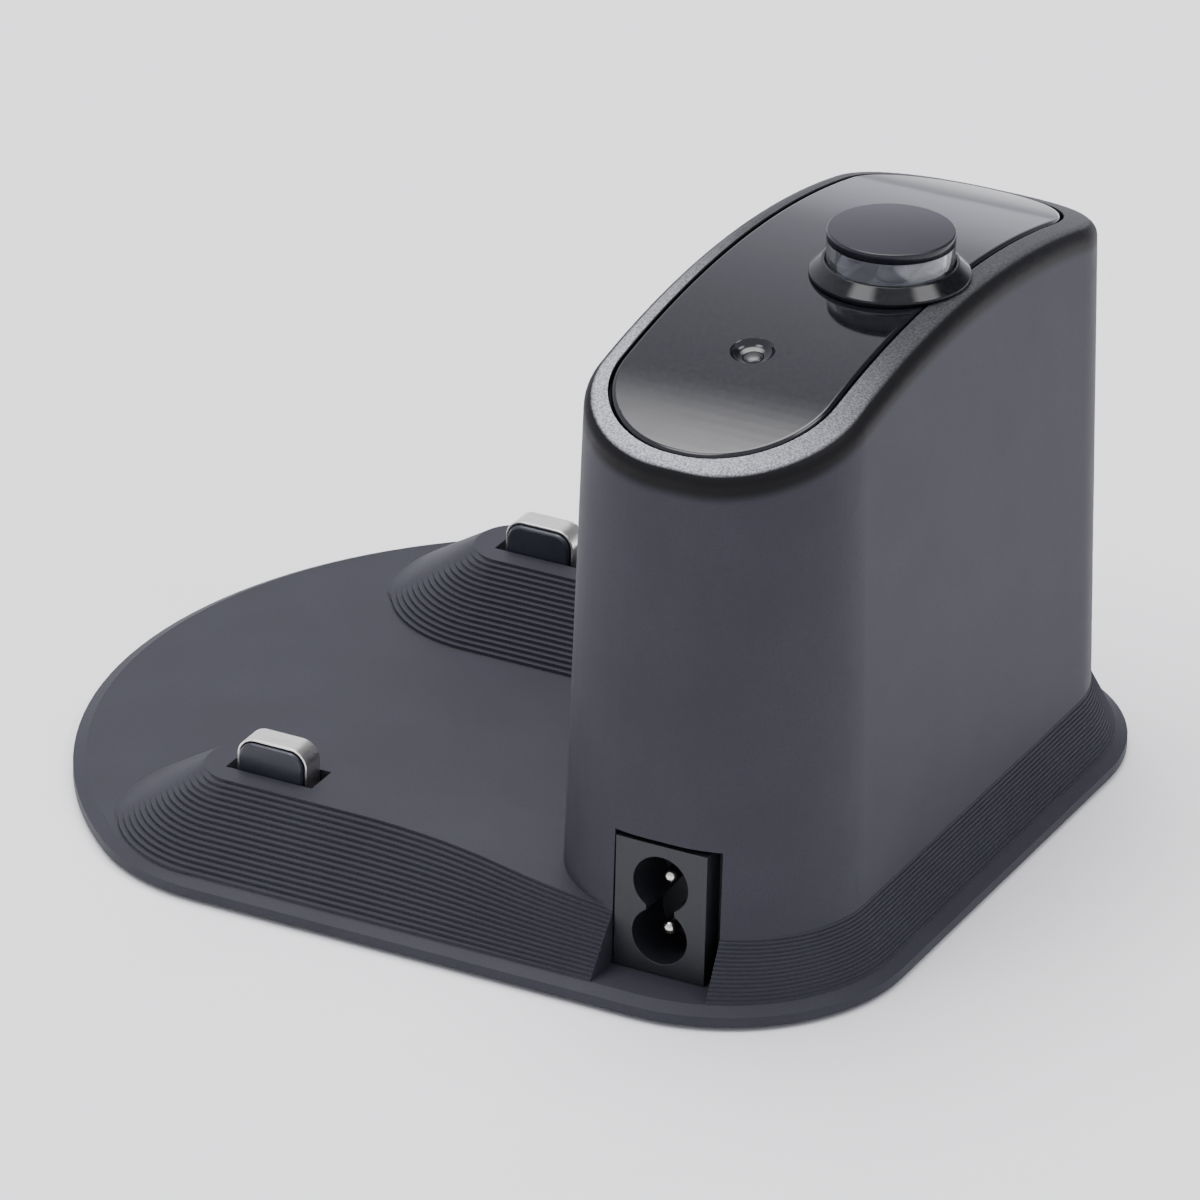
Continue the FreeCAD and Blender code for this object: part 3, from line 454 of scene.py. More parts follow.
# Nickel plate on copper alloy: warm silver with a soft brushed sheen.
STRAP_NICKEL = Metal("nickel_plated_strap", "#e2ded7", "#f4f1ec", 0.3, 0.3, ALONG_Y)
PIN_NICKEL = Metal("nickel_plated_pin", "#c2beb4", "#dedbd3", 0.16, 0.25, ALONG_X)
# Zinc plated and drawn steel: cool grey with uneven polish.
ZINC_STEEL = Metal("steel_zinc_plated", "#8c9094", "#b5b8bc", 0.3, 0.4)
SPRING_STEEL = Metal("steel_spring_drawn", "#7b7e81", "#a9abad", 0.28, 0.2)
# Extruded aluminium: long die lines and a grey bloom.
SINK_ALUMINIUM = Metal("aluminium_extruded", "#a3a6aa", "#c3c5c8", 0.35, 0.4, ALONG_X)
# Moulded polyamide: nearly black, slightly shiny.
CORE_PA = Moulding("polyamide_moulded_black", "#1c1d26", "#272833", 0.36, 0.3)
INLET_PA = Moulding(
    "polyamide_moulded_inlet", "#17181c", "#202126", 0.44, 0.4, relief=Relief.COARSE, specular=0.4)
# Coarse black ABS: the cover under the foot looks flat and dull.
COVER_ABS = Moulding("abs_moulded_underside", "#1b1c20", "#26272c", 0.55, 0.5, relief=Relief.COARSE)
# Nitrile rubber: dull black with a dusty bloom.
FOOT_RUBBER = Moulding("nitrile_rubber_pad", "#121212", "#242424", 0.85, 0.6, relief=Relief.COARSE, ior=1.5)
# Glass-epoxy laminate under a green mask: glossy, with paler green lines.
BOARD_FR = SolderMask("glass_epoxy_green_mask", "#0f4a26", "#1c7038", 0.25, 2.2)
# The dome's small board has a white mask, which throws the diodes' light outwards.
BEACON_FR = SolderMask("glass_epoxy_white_mask", "#c4c6cc", "#d6d8dc", 0.25, 2.2)
# Pressed ferrite with taped windings: dull grey black with yellow laps.
FERRITE = Banded("ferrite_taped", "#3a3836", "#c79a2e", 0.6, 6.0)
# Shrink sleeve of a capacitor: dark blue gloss film with faint laps.
SLEEVE_PVC = Banded("pvc_shrink_sleeve", "#0b1024", "#121a3a", 0.3, 9.0)
# Enamelled copper wire: orange brown turns with dark gaps.
COPPER_ENAMEL = Banded("copper_enamelled_wire", "#5a2a10", "#b5622c", 0.3, 0.8, metallic=0.9)
# Plated fuse caps: pale grey with fine lines.
FUSE_CAP = Metal("nickel_plated_fuse_cap", "#a9a9a4", "#cfcfca", 0.25, 0.3, ALONG_X)
# Paper under the dock: an even pale ground that takes a soft shadow.
FLOOR_PAPER = Finish("paper_floor_pale", "#f5f5f5", "#f9f9f9", 0.9, 40.0)


# Mesh tools

def merged_copy(node: str, kept: Callable[[Vector], bool] | None = None) -> BMesh:
    """Copy a CAD node's mesh as one closed skin with its flat faces joined.

    Args:
        node: The CAD node's name.
        kept: Tells which points keep all their faces, or nothing to join flat faces everywhere.

    Returns:
        A new bmesh.
    """
    mesh = bmesh.new()
    mesh.from_mesh(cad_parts[node].data)
    bmesh.ops.remove_doubles(mesh, verts=mesh.verts, dist=WELD_MM * MM)
    free = [vert for vert in mesh.verts if not (kept and kept(vert.co))]
    chosen = set(free)
    edges = [edge for edge in mesh.edges if chosen.issuperset(edge.verts)]
    bmesh.ops.dissolve_limit(
        mesh, angle_limit=math.radians(FLAT_DEGREES), verts=free, edges=edges, use_dissolve_boundaries=False)
    return mesh


def block(low: Vector, high: Vector) -> BMesh:
    """Make a block between two corners.

    Args:
        low: The lowest corner.
        high: The highest corner.

    Returns:
        A closed bmesh.
    """
    mesh = bmesh.new()
    bmesh.ops.create_cube(mesh, size=1.0)
    bmesh.ops.scale(mesh, vec=high - low, verts=mesh.verts)
    bmesh.ops.translate(mesh, vec=(low + high) / 2, verts=mesh.verts)
    return mesh


def spun(profile: Profile, centre: Vector, steps: int) -> BMesh:
    """Spin a closed profile round an upright axis.

    Args:
        profile: Radius and height of each point, in millimetres above the centre.
        centre: A point on the axis, in metres.
        steps: Faces round the axis.

    Returns:
        A closed bmesh.
    """
    mesh = bmesh.new()
    points = [mesh.verts.new(centre + Vector((radius * MM, 0, height * MM))) for radius, height in profile]
    edges = [mesh.edges.new(pair) for pair in zip(points, points[1:] + points[:1])]
    bmesh.ops.spin(
        mesh, geom=points + edges, cent=centre, axis=UP, angle=2 * math.pi, steps=steps, use_merge=True)
    bmesh.ops.remove_doubles(mesh, verts=mesh.verts, dist=WELD_MM * MM)
    bmesh.ops.recalc_face_normals(mesh, faces=mesh.faces)
    return mesh


def rounded(
    mesh: BMesh, geom: Sequence[Any], radius_mm: float, segments: int, affect: str = "EDGES",
) -> None:
    """Round some corners or edges of a mesh.

    Args:
        mesh: The mesh.
        geom: Its points or edges to round.
        radius_mm: Radius of the rounding.
        segments: Faces across the rounding.
        affect: Whether the "VERTICES" or the "EDGES" are rounded.
    """
    bmesh.ops.bevel(
        mesh, geom=geom, offset=radius_mm * MM, offset_type="OFFSET", segments=segments, profile=0.5,
        affect=affect, material=-1)


def carved(solid: BMesh, *cutters: BMesh) -> BMesh:
    """Take cutters out of a solid.

    Args:
        solid: The solid, which is freed.
        cutters: Closed shapes to remove, which are freed.

    Returns:
        The carved solid as a new bmesh.
    """
    work = loose("carve_solid", solid)
    tools = [loose("carve_tool", cutter) for cutter in cutters]
    for tool in tools:
        step = work.modifiers.new("carve", "BOOLEAN")
        step.object = tool
        step.operation = "DIFFERENCE"
        step.solver = "EXACT"
    bpy.context.view_layer.update()
    seen = work.evaluated_get(bpy.context.evaluated_depsgraph_get())
    result = bmesh.new()
    result.from_mesh(seen.to_mesh())
    seen.to_mesh_clear()
    for item in [work, *tools]:
        data = item.data
        bpy.data.objects.remove(item)
        bpy.data.meshes.remove(data)
    return result


def loose(name: str, shape: BMesh) -> Object:
    """Make a plain object of a bmesh.

    Args:
        name: The object's name.
        shape: Its mesh, which is freed.

    Returns:
        The new object.
    """
    data = bpy.data.meshes.new(name)
    shape.to_mesh(data)
    shape.free()
    item = bpy.data.objects.new(name, data)
    bpy.context.scene.collection.objects.link(item)
    return item


def joined(*shapes: BMesh) -> BMesh:
    """Put several shapes in one bmesh.

    Args:
        shapes: The shapes, which are freed.

    Returns:
        A new bmesh.
    """
    whole = bmesh.new()
    for shape in shapes:
        data = bpy.data.meshes.new("join")
        shape.to_mesh(data)
        shape.free()
        whole.from_mesh(data)
        bpy.data.meshes.remove(data)
    return whole


@dataclass(frozen=True)
class SoftEdge:
    """Softening of a piece's edges: its width, faces across it, and the angle from which an edge gets it."""

    width_mm: float
    segments: int
    angle: float


def piece(
    name: str, shape: BMesh, finish: Finish, body: str,
    replaces: Iterable[str] = (), edge: SoftEdge | None = None,
) -> Object:
    """Finish a piece: smooth faces, softened edges, its material and body.

    Args:
        name: The piece's name.
        shape: Its mesh, which is freed.
        finish: Its surface.
        body: CAD body that it rides on.
        replaces: CAD nodes that it stands for.
        edge: How its edges are softened, or nothing to leave them.

    Returns:
        The finished object.
    """
    item = loose(name, shape)
    item.data.materials.append(finish.material())
    item.data.polygons.foreach_set("use_smooth", [True] * len(item.data.polygons))
    if edge:
        soft = item.modifiers.new("soft_edges", "BEVEL")
        soft.width = edge.width_mm * MM
        soft.segments = edge.segments
        soft.limit_method = "ANGLE"
        soft.angle_limit = math.radians(edge.angle)
        soft.use_clamp_overlap = True
        level = item.modifiers.new("level_faces", "WEIGHTED_NORMAL")
        level.mode = "FACE_AREA"
        level.weight = 100
    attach(item, body)
    if replaces:
        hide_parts(*replaces)
    log.info("piece %s: %d faces", name, len(item.data.polygons))
    return item


def dress(node: str, finish: Finish) -> None:
    """Give a CAD node its material.

    Args:
        node: The CAD node's name.
        finish: Its surface.
    """
    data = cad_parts[node].data
    data.materials.clear()
    data.materials.append(finish.material())
    log.info("dressed %s", node)


# Sub-assemblies

@dataclass
class Housing:
    """The main moulding: lobed foot, ridged plinth and mounds, and the tower."""

    edge: SoftEdge = SoftEdge(0.14, 2, 25.0)
    deck_z: float = 3.4
    ridge_rise: float = 0.535
    ridge_count: int = 17
    mound_x: float = 43.5
    top_half: float = 6.95
    mound_run: float = 14.55
    top_front: float = -38.2
    ramp_run: float = 12.8
    foot_radius: float = 21.0
    top_radius: float = 6.5
    ramp_foot: tuple[float, float] = (10.0, -53.0)
    ramp_top: tuple[float, float] = (4.7, -36.575)
    fade: float = 3.4
    front_end: float = -28.0
    side_slack: float = 1.0
    height_slack: float = 0.1
    level_slack: float = 0.02
    ridge_slack: float = 0.2
    halvings: int = 40
    thin_mm: float = 0.004

    def on_mound(self, point: Vector) -> tuple[float, float, float]:
        """Place of a point beside the middle of its mound, along the dock and above the deck, in mm."""
        return abs(abs(point.x / MM) - self.mound_x), point.y / MM, point.z / MM - self.deck_z

    def at_front(self, point: Vector) -> bool:
        """Tell whether a point is on the front of a mound.

        Args:
            point: The point, in metres.

        Returns:
            True on the front of a mound.
        """
        aside, along, height = self.on_mound(point)
        near = aside < self.top_half + self.mound_run + self.side_slack and along < self.front_end
        return near and -self.height_slack < height < self.ridge_count * self.ridge_rise + self.height_slack

    def outside(self, aside: float, along: float, share: float) -> float:
        """Distance of a point outside the ridge line at a share of the mound's height.

        Args:
            aside: Distance from the mound's middle.
            along: Place along the dock.
            share: 0 at the mound's foot, 1 at its top.

        Returns:
            The distance in millimetres, negative inside.
        """
        half = self.top_half + self.mound_run * (1 - share)
        front = self.top_front - self.ramp_run * (1 - share)
        radius = self.foot_radius + (self.top_radius - self.foot_radius) * share
        over_x = aside - (half - radius)
        over_y = front + radius - along
        if over_x > 0 and over_y > 0:
            return math.hypot(over_x, over_y) - radius
        return max(over_x, over_y) - radius

    def ridge_at(self, aside: float, along: float) -> float:
        """Find the ridge line through a point by halving.

        Args:
            aside: Distance from the mound's middle.
            along: Place along the dock.

        Returns:
            The ridge's number, which isn't whole between two ridges.
        """
        low, high = -self.ridge_slack, 1 + self.ridge_slack
        for _ in range(self.halvings):
            middle = (low + high) / 2
            if self.outside(aside, along, middle) < 0:
                low = middle
            else:
                high = middle
        return low * (self.ridge_count - 1)

    def smoothness(self, aside: float, along: float) -> float:
        """Share by which the grooves are filled: one on the ramp, nothing a short way from it.

        Args:
            aside: Distance from the mound's middle.
            along: Place along the dock.

        Returns:
            The share, from 0 to 1.
        """
        edge = Vector(self.ramp_top) - Vector(self.ramp_foot)
        across = Vector((edge.y, -edge.x)).normalized()
        apart = (Vector((aside, along)) - Vector(self.ramp_foot)).dot(across)
        near = 1 - min(max(apart / self.fade, 0), 1)
        return near * near * (3 - 2 * near)

    def spread(self, vert: BMVert, aside: float, along: float) -> None:
        """Move a point at the foot of the first ridge out to the foot of the ramp's slope.

        Args:
            vert: The point.
            aside: Its distance from the mound's middle.
            along: Its place along the dock.
        """
        middle = self.top_half + self.mound_run - self.foot_radius
        out = Vector((max(aside - middle, 0), along - self.top_front + self.ramp_run - self.foot_radius))
        gap = -self.outside(aside, along, -1 / (self.ridge_count - 1))
        step = out.normalized() * gap * self.smoothness(aside, along) * MM
        outward = 1 if abs(vert.co.x / MM) > self.mound_x else -1
        vert.co.x += math.copysign(step.x, vert.co.x) * outward
        vert.co.y += step.y

    def shell(self) -> BMesh:
        """Copy the moulding and let its grooves run out beside the smooth ramps.

        Returns:
            A closed bmesh.
        """
        mesh = merged_copy("upper_housing", self.at_front)
        for vert in mesh.verts:
            if not self.at_front(vert.co):
                continue
            aside, along, height = self.on_mound(vert.co)
            level = round(height / self.ridge_rise)
            flat = abs(height - level * self.ridge_rise) < self.level_slack
            if not flat or abs(self.ridge_at(aside, along) - level) > self.ridge_slack:
                continue
            if level > 0:
                vert.co.z += self.ridge_rise * MM * self.smoothness(aside, along)
            else:
                self.spread(vert, aside, along)
        bmesh.ops.dissolve_degenerate(mesh, dist=self.thin_mm * MM, edges=mesh.edges)
        return mesh

    def build(self) -> None:
        """Soften the moulding's edges and dress it."""
        piece("housing_shell", self.shell(), HOUSING_ABS, "dock", ["upper_housing"], self.edge)


@dataclass
class TopLid:
    """Gloss panel on the arched top, with a hole for the dome's neck and a dish for the indicator."""

    edge: SoftEdge = SoftEdge(0.2, 4, 32.0)
    corner: float = 16.4
    corner_steps: int = 28
    thickness: float = 2.0
    strips: int = 61
    rim_mm: float = 0.7
    rim_steps: int = 5
    round_steps: int = 64
    dish_x: float = 29.5
    dish_radius: float = 3.2
    dish_floor: float = 1.6
    dish_depth: float = 1.2
    bowl_from: int = 10
    bowl_step: int = 16
    mouth_wider: float = 0.4
    mouth_low: float = 0.2
    mouth_high: float = 2.0
    lens_hole_low: float = -4.0
    neck_hole: float = 7.9
    neck_hole_low: float = -6.0
    neck_hole_high: float = 4.0
    lens: Profile = (
        (0, -1.9), (1.5, -1.9), (1.5, -1.3), (1.38, -1.12), (1.08, -0.97), (0.6, -0.88), (0, -0.85))
    half: Vector = field(init=False)
    centre: Vector = field(init=False)

    def __post_init__(self) -> None:
        """Read the panel's place from its CAD node."""
        low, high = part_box("top_lid")
        self.half = (high - low) / 2
        self.centre = Vector(((low.x + high.x) / 2, (low.y + high.y) / 2, high.z))

    def panel(self) -> BMesh:
        """Make a plate with round ends and a round upper edge, cut in strips across and bent over the arch.

        Returns:
            A closed bmesh.
        """
        mesh = bmesh.new()
        bmesh.ops.create_grid(mesh, x_segments=1, y_segments=1, size=1.0)
        bmesh.ops.scale(mesh, vec=(self.half.x, self.half.y, 1), verts=mesh.verts)
        rounded(mesh, mesh.verts[:], self.corner, self.corner_steps, "VERTICES")
        top = bmesh.ops.extrude_face_region(mesh, geom=mesh.faces[:])["geom"]
        raised = [item for item in top if isinstance(item, BMVert)]
        bmesh.ops.translate(mesh, vec=(0, 0, self.thickness * MM), verts=raised)
        rounded(mesh, [item for item in top if isinstance(item, BMEdge)], self.rim_mm, self.rim_steps)
        for index in range(1, self.strips):
            x = self.half.x * (2 * index / self.strips - 1)
            whole = mesh.verts[:] + mesh.edges[:] + mesh.faces[:]
            bmesh.ops.bisect_plane(mesh, geom=whole, plane_co=(x, 0, 0), plane_no=(1, 0, 0))
        bmesh.ops.translate(mesh, vec=self.centre - Vector((0, 0, self.thickness * MM)), verts=mesh.verts)
        for vert in mesh.verts:
            vert.co.z -= arch_fall(vert.co.x)
        bmesh.ops.recalc_face_normals(mesh, faces=mesh.faces)
        return mesh

    def bowl(self) -> list[tuple[float, float]]:
        """Work out the hollow of the dish, from its rim down to the lens.

        Returns:
            Radius and height of each point.
        """
        width = self.dish_radius - self.dish_floor
        turns = [math.radians(angle) for angle in range(self.bowl_from, 91, self.bowl_step)]
        return [
            (self.dish_floor + width * math.cos(turn), -self.dish_depth * math.sin(turn)) for turn in turns]

    def on_dish(self, profile: Profile) -> BMesh:
        """Spin a profile and set it on the dish, square to the arch.

        Args:
            profile: Radius and height of each point, in millimetres.

        Returns:
            A closed bmesh.
        """
        mesh = spun(profile, Vector(), self.round_steps)
        x = self.dish_x * MM
        spot = Matrix.Translation((x, self.centre.y, self.centre.z - arch_fall(x)))
        lean = Matrix.Rotation(math.asin(self.dish_x / ARCH_RADIUS), 4, "Y")
        bmesh.ops.transform(mesh, matrix=spot @ lean, verts=mesh.verts)
        return mesh

    def build(self) -> None:
        """Make the panel and the indicator's lens."""
        mouth = self.dish_radius + self.mouth_wider
        dish = self.on_dish([
            (0, self.mouth_high), (mouth, self.mouth_high), (mouth, self.mouth_low), *self.bowl(),
            (self.dish_floor, self.lens_hole_low), (0, self.lens_hole_low)])
        low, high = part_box("beacon_ring")
        neck = Vector(((low.x + high.x) / 2, (low.y + high.y) / 2, self.centre.z))
        hole = spun([
            (0, self.neck_hole_low), (self.neck_hole, self.neck_hole_low),
            (self.neck_hole, self.neck_hole_high), (0, self.neck_hole_high)], neck, self.round_steps)
        panel = carved(self.panel(), dish, hole)
        piece("gloss_lid", panel, LID_ABS, "dock", ["top_lid"], self.edge)
        lens = self.on_dish(self.lens)
        piece("indicator_dome", lens, LENS_PC, "dock", ["indicator_lens"])


@dataclass
class SignalDome:
    """Gloss collar, clear ring with diodes inside, and black cap."""

    skirt_edge: SoftEdge = SoftEdge(0.22, 4, 30.0)
    ring_edge: SoftEdge = SoftEdge(0.12, 2, 30.0)
    round_steps: int = 128
    ring_wall: float = 1.4
    ring_fit: float = 0.15
    neck_radius: float = 7.6
    neck_bore: float = 6.0
    neck_length: float = 5.5
    skirt_radius: float = 12.1
    skirt_top: float = 10.2
    skirt_height: float = 2.3
    floor: float = 0.8
    # The collar's foot: gap over the lid, outer edge as steps out and up, and what bends with the arch.
    foot_gap: float = 0.06
    foot_edge: Profile = ((-0.5, 0.06), (0.0, 0.12), (0.0, 0.5))
    foot_from: float = 1.0
    foot_height: float = 0.3
    # The cap's rounded edge, as steps in and down.
    cap_edge: Profile = ((0.0, 0.3), (0.05, 0.15), (0.16, 0.05), (0.32, 0.02))
    spigot_fit: float = 0.3
    spigot_length: float = 0.6
    emitter_radius: float = 2.4
    emitter_ring: float = 4.6
    emitter_count: int = 3
    emitter_steps: int = 48
    emitter_turns: tuple[float, ...] = (0, 0.2, 0.4, 0.6, 0.8, 1.0, 1.2, 1.4)
    # The post inside a diode: its foot, then radius and share of the diode's height of each point.
    post_foot: float = 0.1
    post: Profile = ((0.5, 0.35), (0.8, 0.55), (0.0, 0.45))
    post_steps: int = 20
    radius: float = field(init=False)
    axis: Vector = field(init=False)
    cap_z: float = field(init=False)
    cap_top: float = field(init=False)

    def __post_init__(self) -> None:
        """Read the dome's axis and levels from its CAD nodes."""
        low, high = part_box("beacon_ring")
        self.radius = (high.x - low.x) / 2 / MM
        self.axis = Vector(((low.x + high.x) / 2, (low.y + high.y) / 2, low.z - self.floor * MM))
        self.cap_z = (high.z - self.axis.z) / MM
        self.cap_top = (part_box("beacon_cap")[1].z - self.axis.z) / MM

    def skirt(self) -> BMesh:
        """Make the collar, with a small foot that follows the arch of the lid.

        Returns:
            A closed bmesh.
        """
        seat = self.radius + self.ring_fit
        mesh = spun([
            (self.neck_bore, -self.neck_length), (self.neck_radius, -self.neck_length),
            (self.neck_radius, self.foot_gap),
            *((self.skirt_radius + out, height) for out, height in self.foot_edge),
            (self.skirt_top, self.skirt_height), (seat, self.skirt_height), (seat, self.floor),
            (self.neck_bore, self.floor)], self.axis, self.round_steps)
        for vert in mesh.verts:
            across = (vert.co - self.axis).xy.length
            height = (vert.co.z - self.axis.z) / MM
            if across > (self.neck_radius + self.foot_from) * MM and height < self.foot_height:
                vert.co.z -= arch_fall(vert.co.x)
        return mesh

    def ring(self) -> BMesh:
        """Make the clear tube.

        Returns:
            A closed bmesh.
        """
        inner = self.radius - self.ring_wall
        return spun([
            (inner, self.floor), (self.radius, self.floor), (self.radius, self.cap_z), (inner, self.cap_z)],
            self.axis, self.round_steps)

    def cap(self) -> BMesh:
        """Make the cap, with a rounded edge, a spigot and a very slight crown.

        Returns:
            A closed bmesh.
        """
        spigot = self.radius - self.ring_wall - self.spigot_fit
        end = self.cap_z - self.spigot_length
        return spun([
            (0, end), (spigot, end), (spigot, self.cap_z), (self.radius, self.cap_z),
            *((self.radius - inset, self.cap_top - drop) for inset, drop in self.cap_edge),
            (0, self.cap_top)], self.axis, self.round_steps)

    def emitters(self) -> tuple[BMesh, BMesh]:
        """Make the domed diode bodies, and the metal posts inside them.

        Returns:
            The clear bodies and the posts.
        """
        low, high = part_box("beacon_emitters")
        tall = (high.z - low.z) / MM
        arc = [(self.emitter_radius * math.cos(turn), tall - self.emitter_radius * (1 - math.sin(turn)))
               for turn in self.emitter_turns]
        stem = [(radius, tall * share) for radius, share in self.post]
        bodies, posts = [], []
        for index in range(self.emitter_count):
            turn = 2 * math.pi * index / self.emitter_count - math.pi / 2
            spot = Vector((
                self.axis.x + self.emitter_ring * MM * math.cos(turn),
                self.axis.y + self.emitter_ring * MM * math.sin(turn), low.z))
            bodies.append(spun(
                [(0, 0), (self.emitter_radius, 0), *arc, (0, tall)], spot, self.emitter_steps))
            posts.append(spun(
                [(0, self.post_foot), (stem[0][0], self.post_foot), *stem], spot, self.post_steps))
        return joined(*bodies), joined(*posts)

    def build(self) -> None:
        """Make the dome."""
        piece("dome_collar", self.skirt(), SKIRT_ABS, "dock", ["beacon_skirt"],
              self.skirt_edge)
        piece("dome_ring", self.ring(), RING_PC, "dock", ["beacon_ring"], self.ring_edge)
        piece("dome_cap", self.cap(), CAP_ABS, "dock", ["beacon_cap"])
        bodies, posts = self.emitters()
        piece("diode_bodies", bodies, EMITTER_EPOXY, "dock", ["beacon_emitters"])
        piece("diode_posts", posts, ZINC_STEEL, "dock")
        dress("beacon_board", BEACON_FR)


@dataclass
class ChargingContact:
    """One sprung contact: a bent strap over a black core, on a coil spring."""

    side: Side
    strap_edge: SoftEdge = SoftEdge(0.12, 3, 40.0)
    core_edge: SoftEdge = SoftEdge(0.5, 4, 40.0)
    thickness: float = 0.4
    corner: float = 3.0
    corner_steps: int = 16
    core_corner: float = 2.45
    core_corner_steps: int = 8
    core_width: float = 5.6
    fit: float = 0.15
    travel: float = 4.0
    wire: float = 0.5
    wire_steps: int = 10
    turns: int = 4
    turn_steps: int = 32

    def strap(self) -> BMesh:
        """Make an upturned U of sheet metal with round bends.

        Returns:
            A closed bmesh.
        """
        low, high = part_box(f"contact_strap_{self.side.value}")
        mesh = block(low, high)
        away = [face for face in mesh.faces if abs(face.normal.x) > FACING or face.normal.z < -FACING]
        bmesh.ops.delete(mesh, geom=away, context="FACES")
        bends = [edge for edge in mesh.edges if not edge.is_boundary]
        rounded(mesh, bends, self.corner, self.corner_steps)
        bmesh.ops.recalc_face_normals(mesh, faces=mesh.faces)
        middle = (low + high) / 2
        if sum((face.calc_center_median() - middle).dot(face.normal) for face in mesh.faces) < 0:
            bmesh.ops.reverse_faces(mesh, faces=mesh.faces)
        bmesh.ops.solidify(mesh, geom=mesh.faces[:], thickness=self.thickness * MM)
        return mesh

    def core(self) -> BMesh:
        """Make the black bar with round top ends, over a wide flange.

        Returns:
            A bmesh of two closed blocks.
        """
        low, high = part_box(f"contact_core_{self.side.value}")
        strap_low, strap_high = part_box(f"contact_strap_{self.side.value}")
        middle = (low + high) / 2
        inside = (strap_high.y - strap_low.y) / 2 - (self.thickness + self.fit) * MM
        half = Vector((self.core_width / 2 * MM, inside, 0))
        foot = Vector((middle.x, middle.y, strap_low.z))
        top = Vector((middle.x, middle.y, high.z))
        bar = block(foot - half, top + half)
        upper = [edge for edge in bar.edges if min(vert.co.z for vert in edge.verts) > high.z - MM]
        ends = [edge for edge in upper if abs(edge.verts[0].co.x - edge.verts[1].co.x) > MM]
        rounded(bar, ends, self.core_corner, self.core_corner_steps)
        flange = block(low, Vector((high.x, high.y, strap_low.z)))
        return joined(bar, flange)

    def spring(self) -> BMesh:
        """Wind a coil of round wire.

        Returns:
            A closed bmesh.
        """
        low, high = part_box(f"contact_spring_{self.side.value}")
        middle = (low + high) / 2
        radius = (high.x - low.x) / 2 - self.wire / 2 * MM
        mesh = bmesh.new()
        bmesh.ops.create_circle(mesh, radius=self.wire / 2 * MM, segments=self.wire_steps)
        stand = Matrix.Translation((middle.x + radius, middle.y, low.z + self.wire / 2 * MM))
        bmesh.ops.transform(mesh, matrix=stand @ Matrix.Rotation(math.pi / 2, 4, "X"), verts=mesh.verts)
        steps = self.turns * self.turn_steps
        rise = (high.z - low.z - self.wire * MM) / steps
        bmesh.ops.spin(
            mesh, geom=mesh.verts[:] + mesh.edges[:], cent=(middle.x, middle.y, 0), axis=UP,
            dvec=(0, 0, rise), angle=2 * math.pi * self.turns, steps=steps)
        ends = [edge for edge in mesh.edges if edge.is_boundary]
        bmesh.ops.holes_fill(mesh, edges=ends, sides=0)
        bmesh.ops.recalc_face_normals(mesh, faces=mesh.faces)
        return mesh

    def build(self) -> None:
        """Make the contact."""
        name = self.side.value
        body = f"contact_{name}"
        piece(f"strap_{name}", self.strap(), STRAP_NICKEL, body,
              [f"contact_strap_{name}"], self.strap_edge)
        piece(f"core_{name}", self.core(), CORE_PA, body,
              [f"contact_core_{name}"], self.core_edge)
        coil = piece(f"spring_{name}", self.spring(), SPRING_STEEL, "dock",
                     [f"contact_spring_{name}"])
        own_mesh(coil)


@dataclass
class MainsInlet:
    """Two-pin inlet: a face plate with a socket of two joined rounds, and ball-ended pins."""

    edge: SoftEdge = SoftEdge(0.3, 3, 35.0)

    def build(self) -> None:
        """Soften the plate's edges and dress plate and pins."""
        piece("inlet_plate", merged_copy("inlet_body"), INLET_PA, "dock", ["inlet_body"], self.edge)
        piece("inlet_pin_pair", merged_copy("inlet_pins"), PIN_NICKEL, "dock", ["inlet_pins"])


@dataclass
class Underside:
    """Bottom cover, rubber pads and cross-head screws."""

    cover_edge: SoftEdge = SoftEdge(0.2, 2, 35.0)
    pad_edge: SoftEdge = SoftEdge(0.3, 3, 35.0)
    screw_edge: SoftEdge = SoftEdge(0.08, 2, 35.0)
    recess_length: float = 2.6
    recess_width: float = 0.7
    recess_depth: float = 0.9

    def screws(self) -> BMesh:
        """Cut a cross recess in the head of each countersunk screw.

        Returns:
            A bmesh with one closed skin for each screw.
        """
        mesh = merged_copy("cover_screws")
        heads = [face.calc_center_median() for face in mesh.faces if face.normal.z < -FACING]
        size = (self.recess_length, self.recess_width)
        arms = []
        for length, width in (size, size[::-1]):
            half = Vector((length, width, 2 * self.recess_depth)) / 2 * MM
            arms += [block(head - half, head + half) for head in heads]
        return carved(mesh, *arms)

    def build(self) -> None:
        """Soften and dress what lies under the foot."""
        piece("underside_cover", merged_copy("bottom_cover"), COVER_ABS, "dock", ["bottom_cover"],
              self.cover_edge)
        piece("rubber_pads", merged_copy("rubber_feet"), FOOT_RUBBER, "dock", ["rubber_feet"],
              self.pad_edge)
        piece("cover_screw_set", self.screws(), ZINC_STEEL, "dock", ["cover_screws"],
              self.screw_edge)


@dataclass
class PowerSupply:
    """Board and components inside the tower."""

    finishes: dict[str, Finish] = field(default_factory=lambda: {
        "power_board": BOARD_FR, "board_screws": ZINC_STEEL, "transformer": FERRITE,
        "bulk_capacitor": SLEEVE_PVC, "output_capacitors": SLEEVE_PVC, "line_choke": COPPER_ENAMEL,
        "line_fuse": FUSE_CAP, "heat_sink": SINK_ALUMINIUM})

    def build(self) -> None:
        """Dress each component."""
        for node, finish in self.finishes.items():
            dress(node, finish)


@dataclass(frozen=True)
class SoftBox:
    """One large soft light, even in its middle and dimmer towards its rim."""

    name: str
    azimuth: float
    elevation: float
    distance: float
    width: float
    height: float
    power: float
    even: float = 0.4


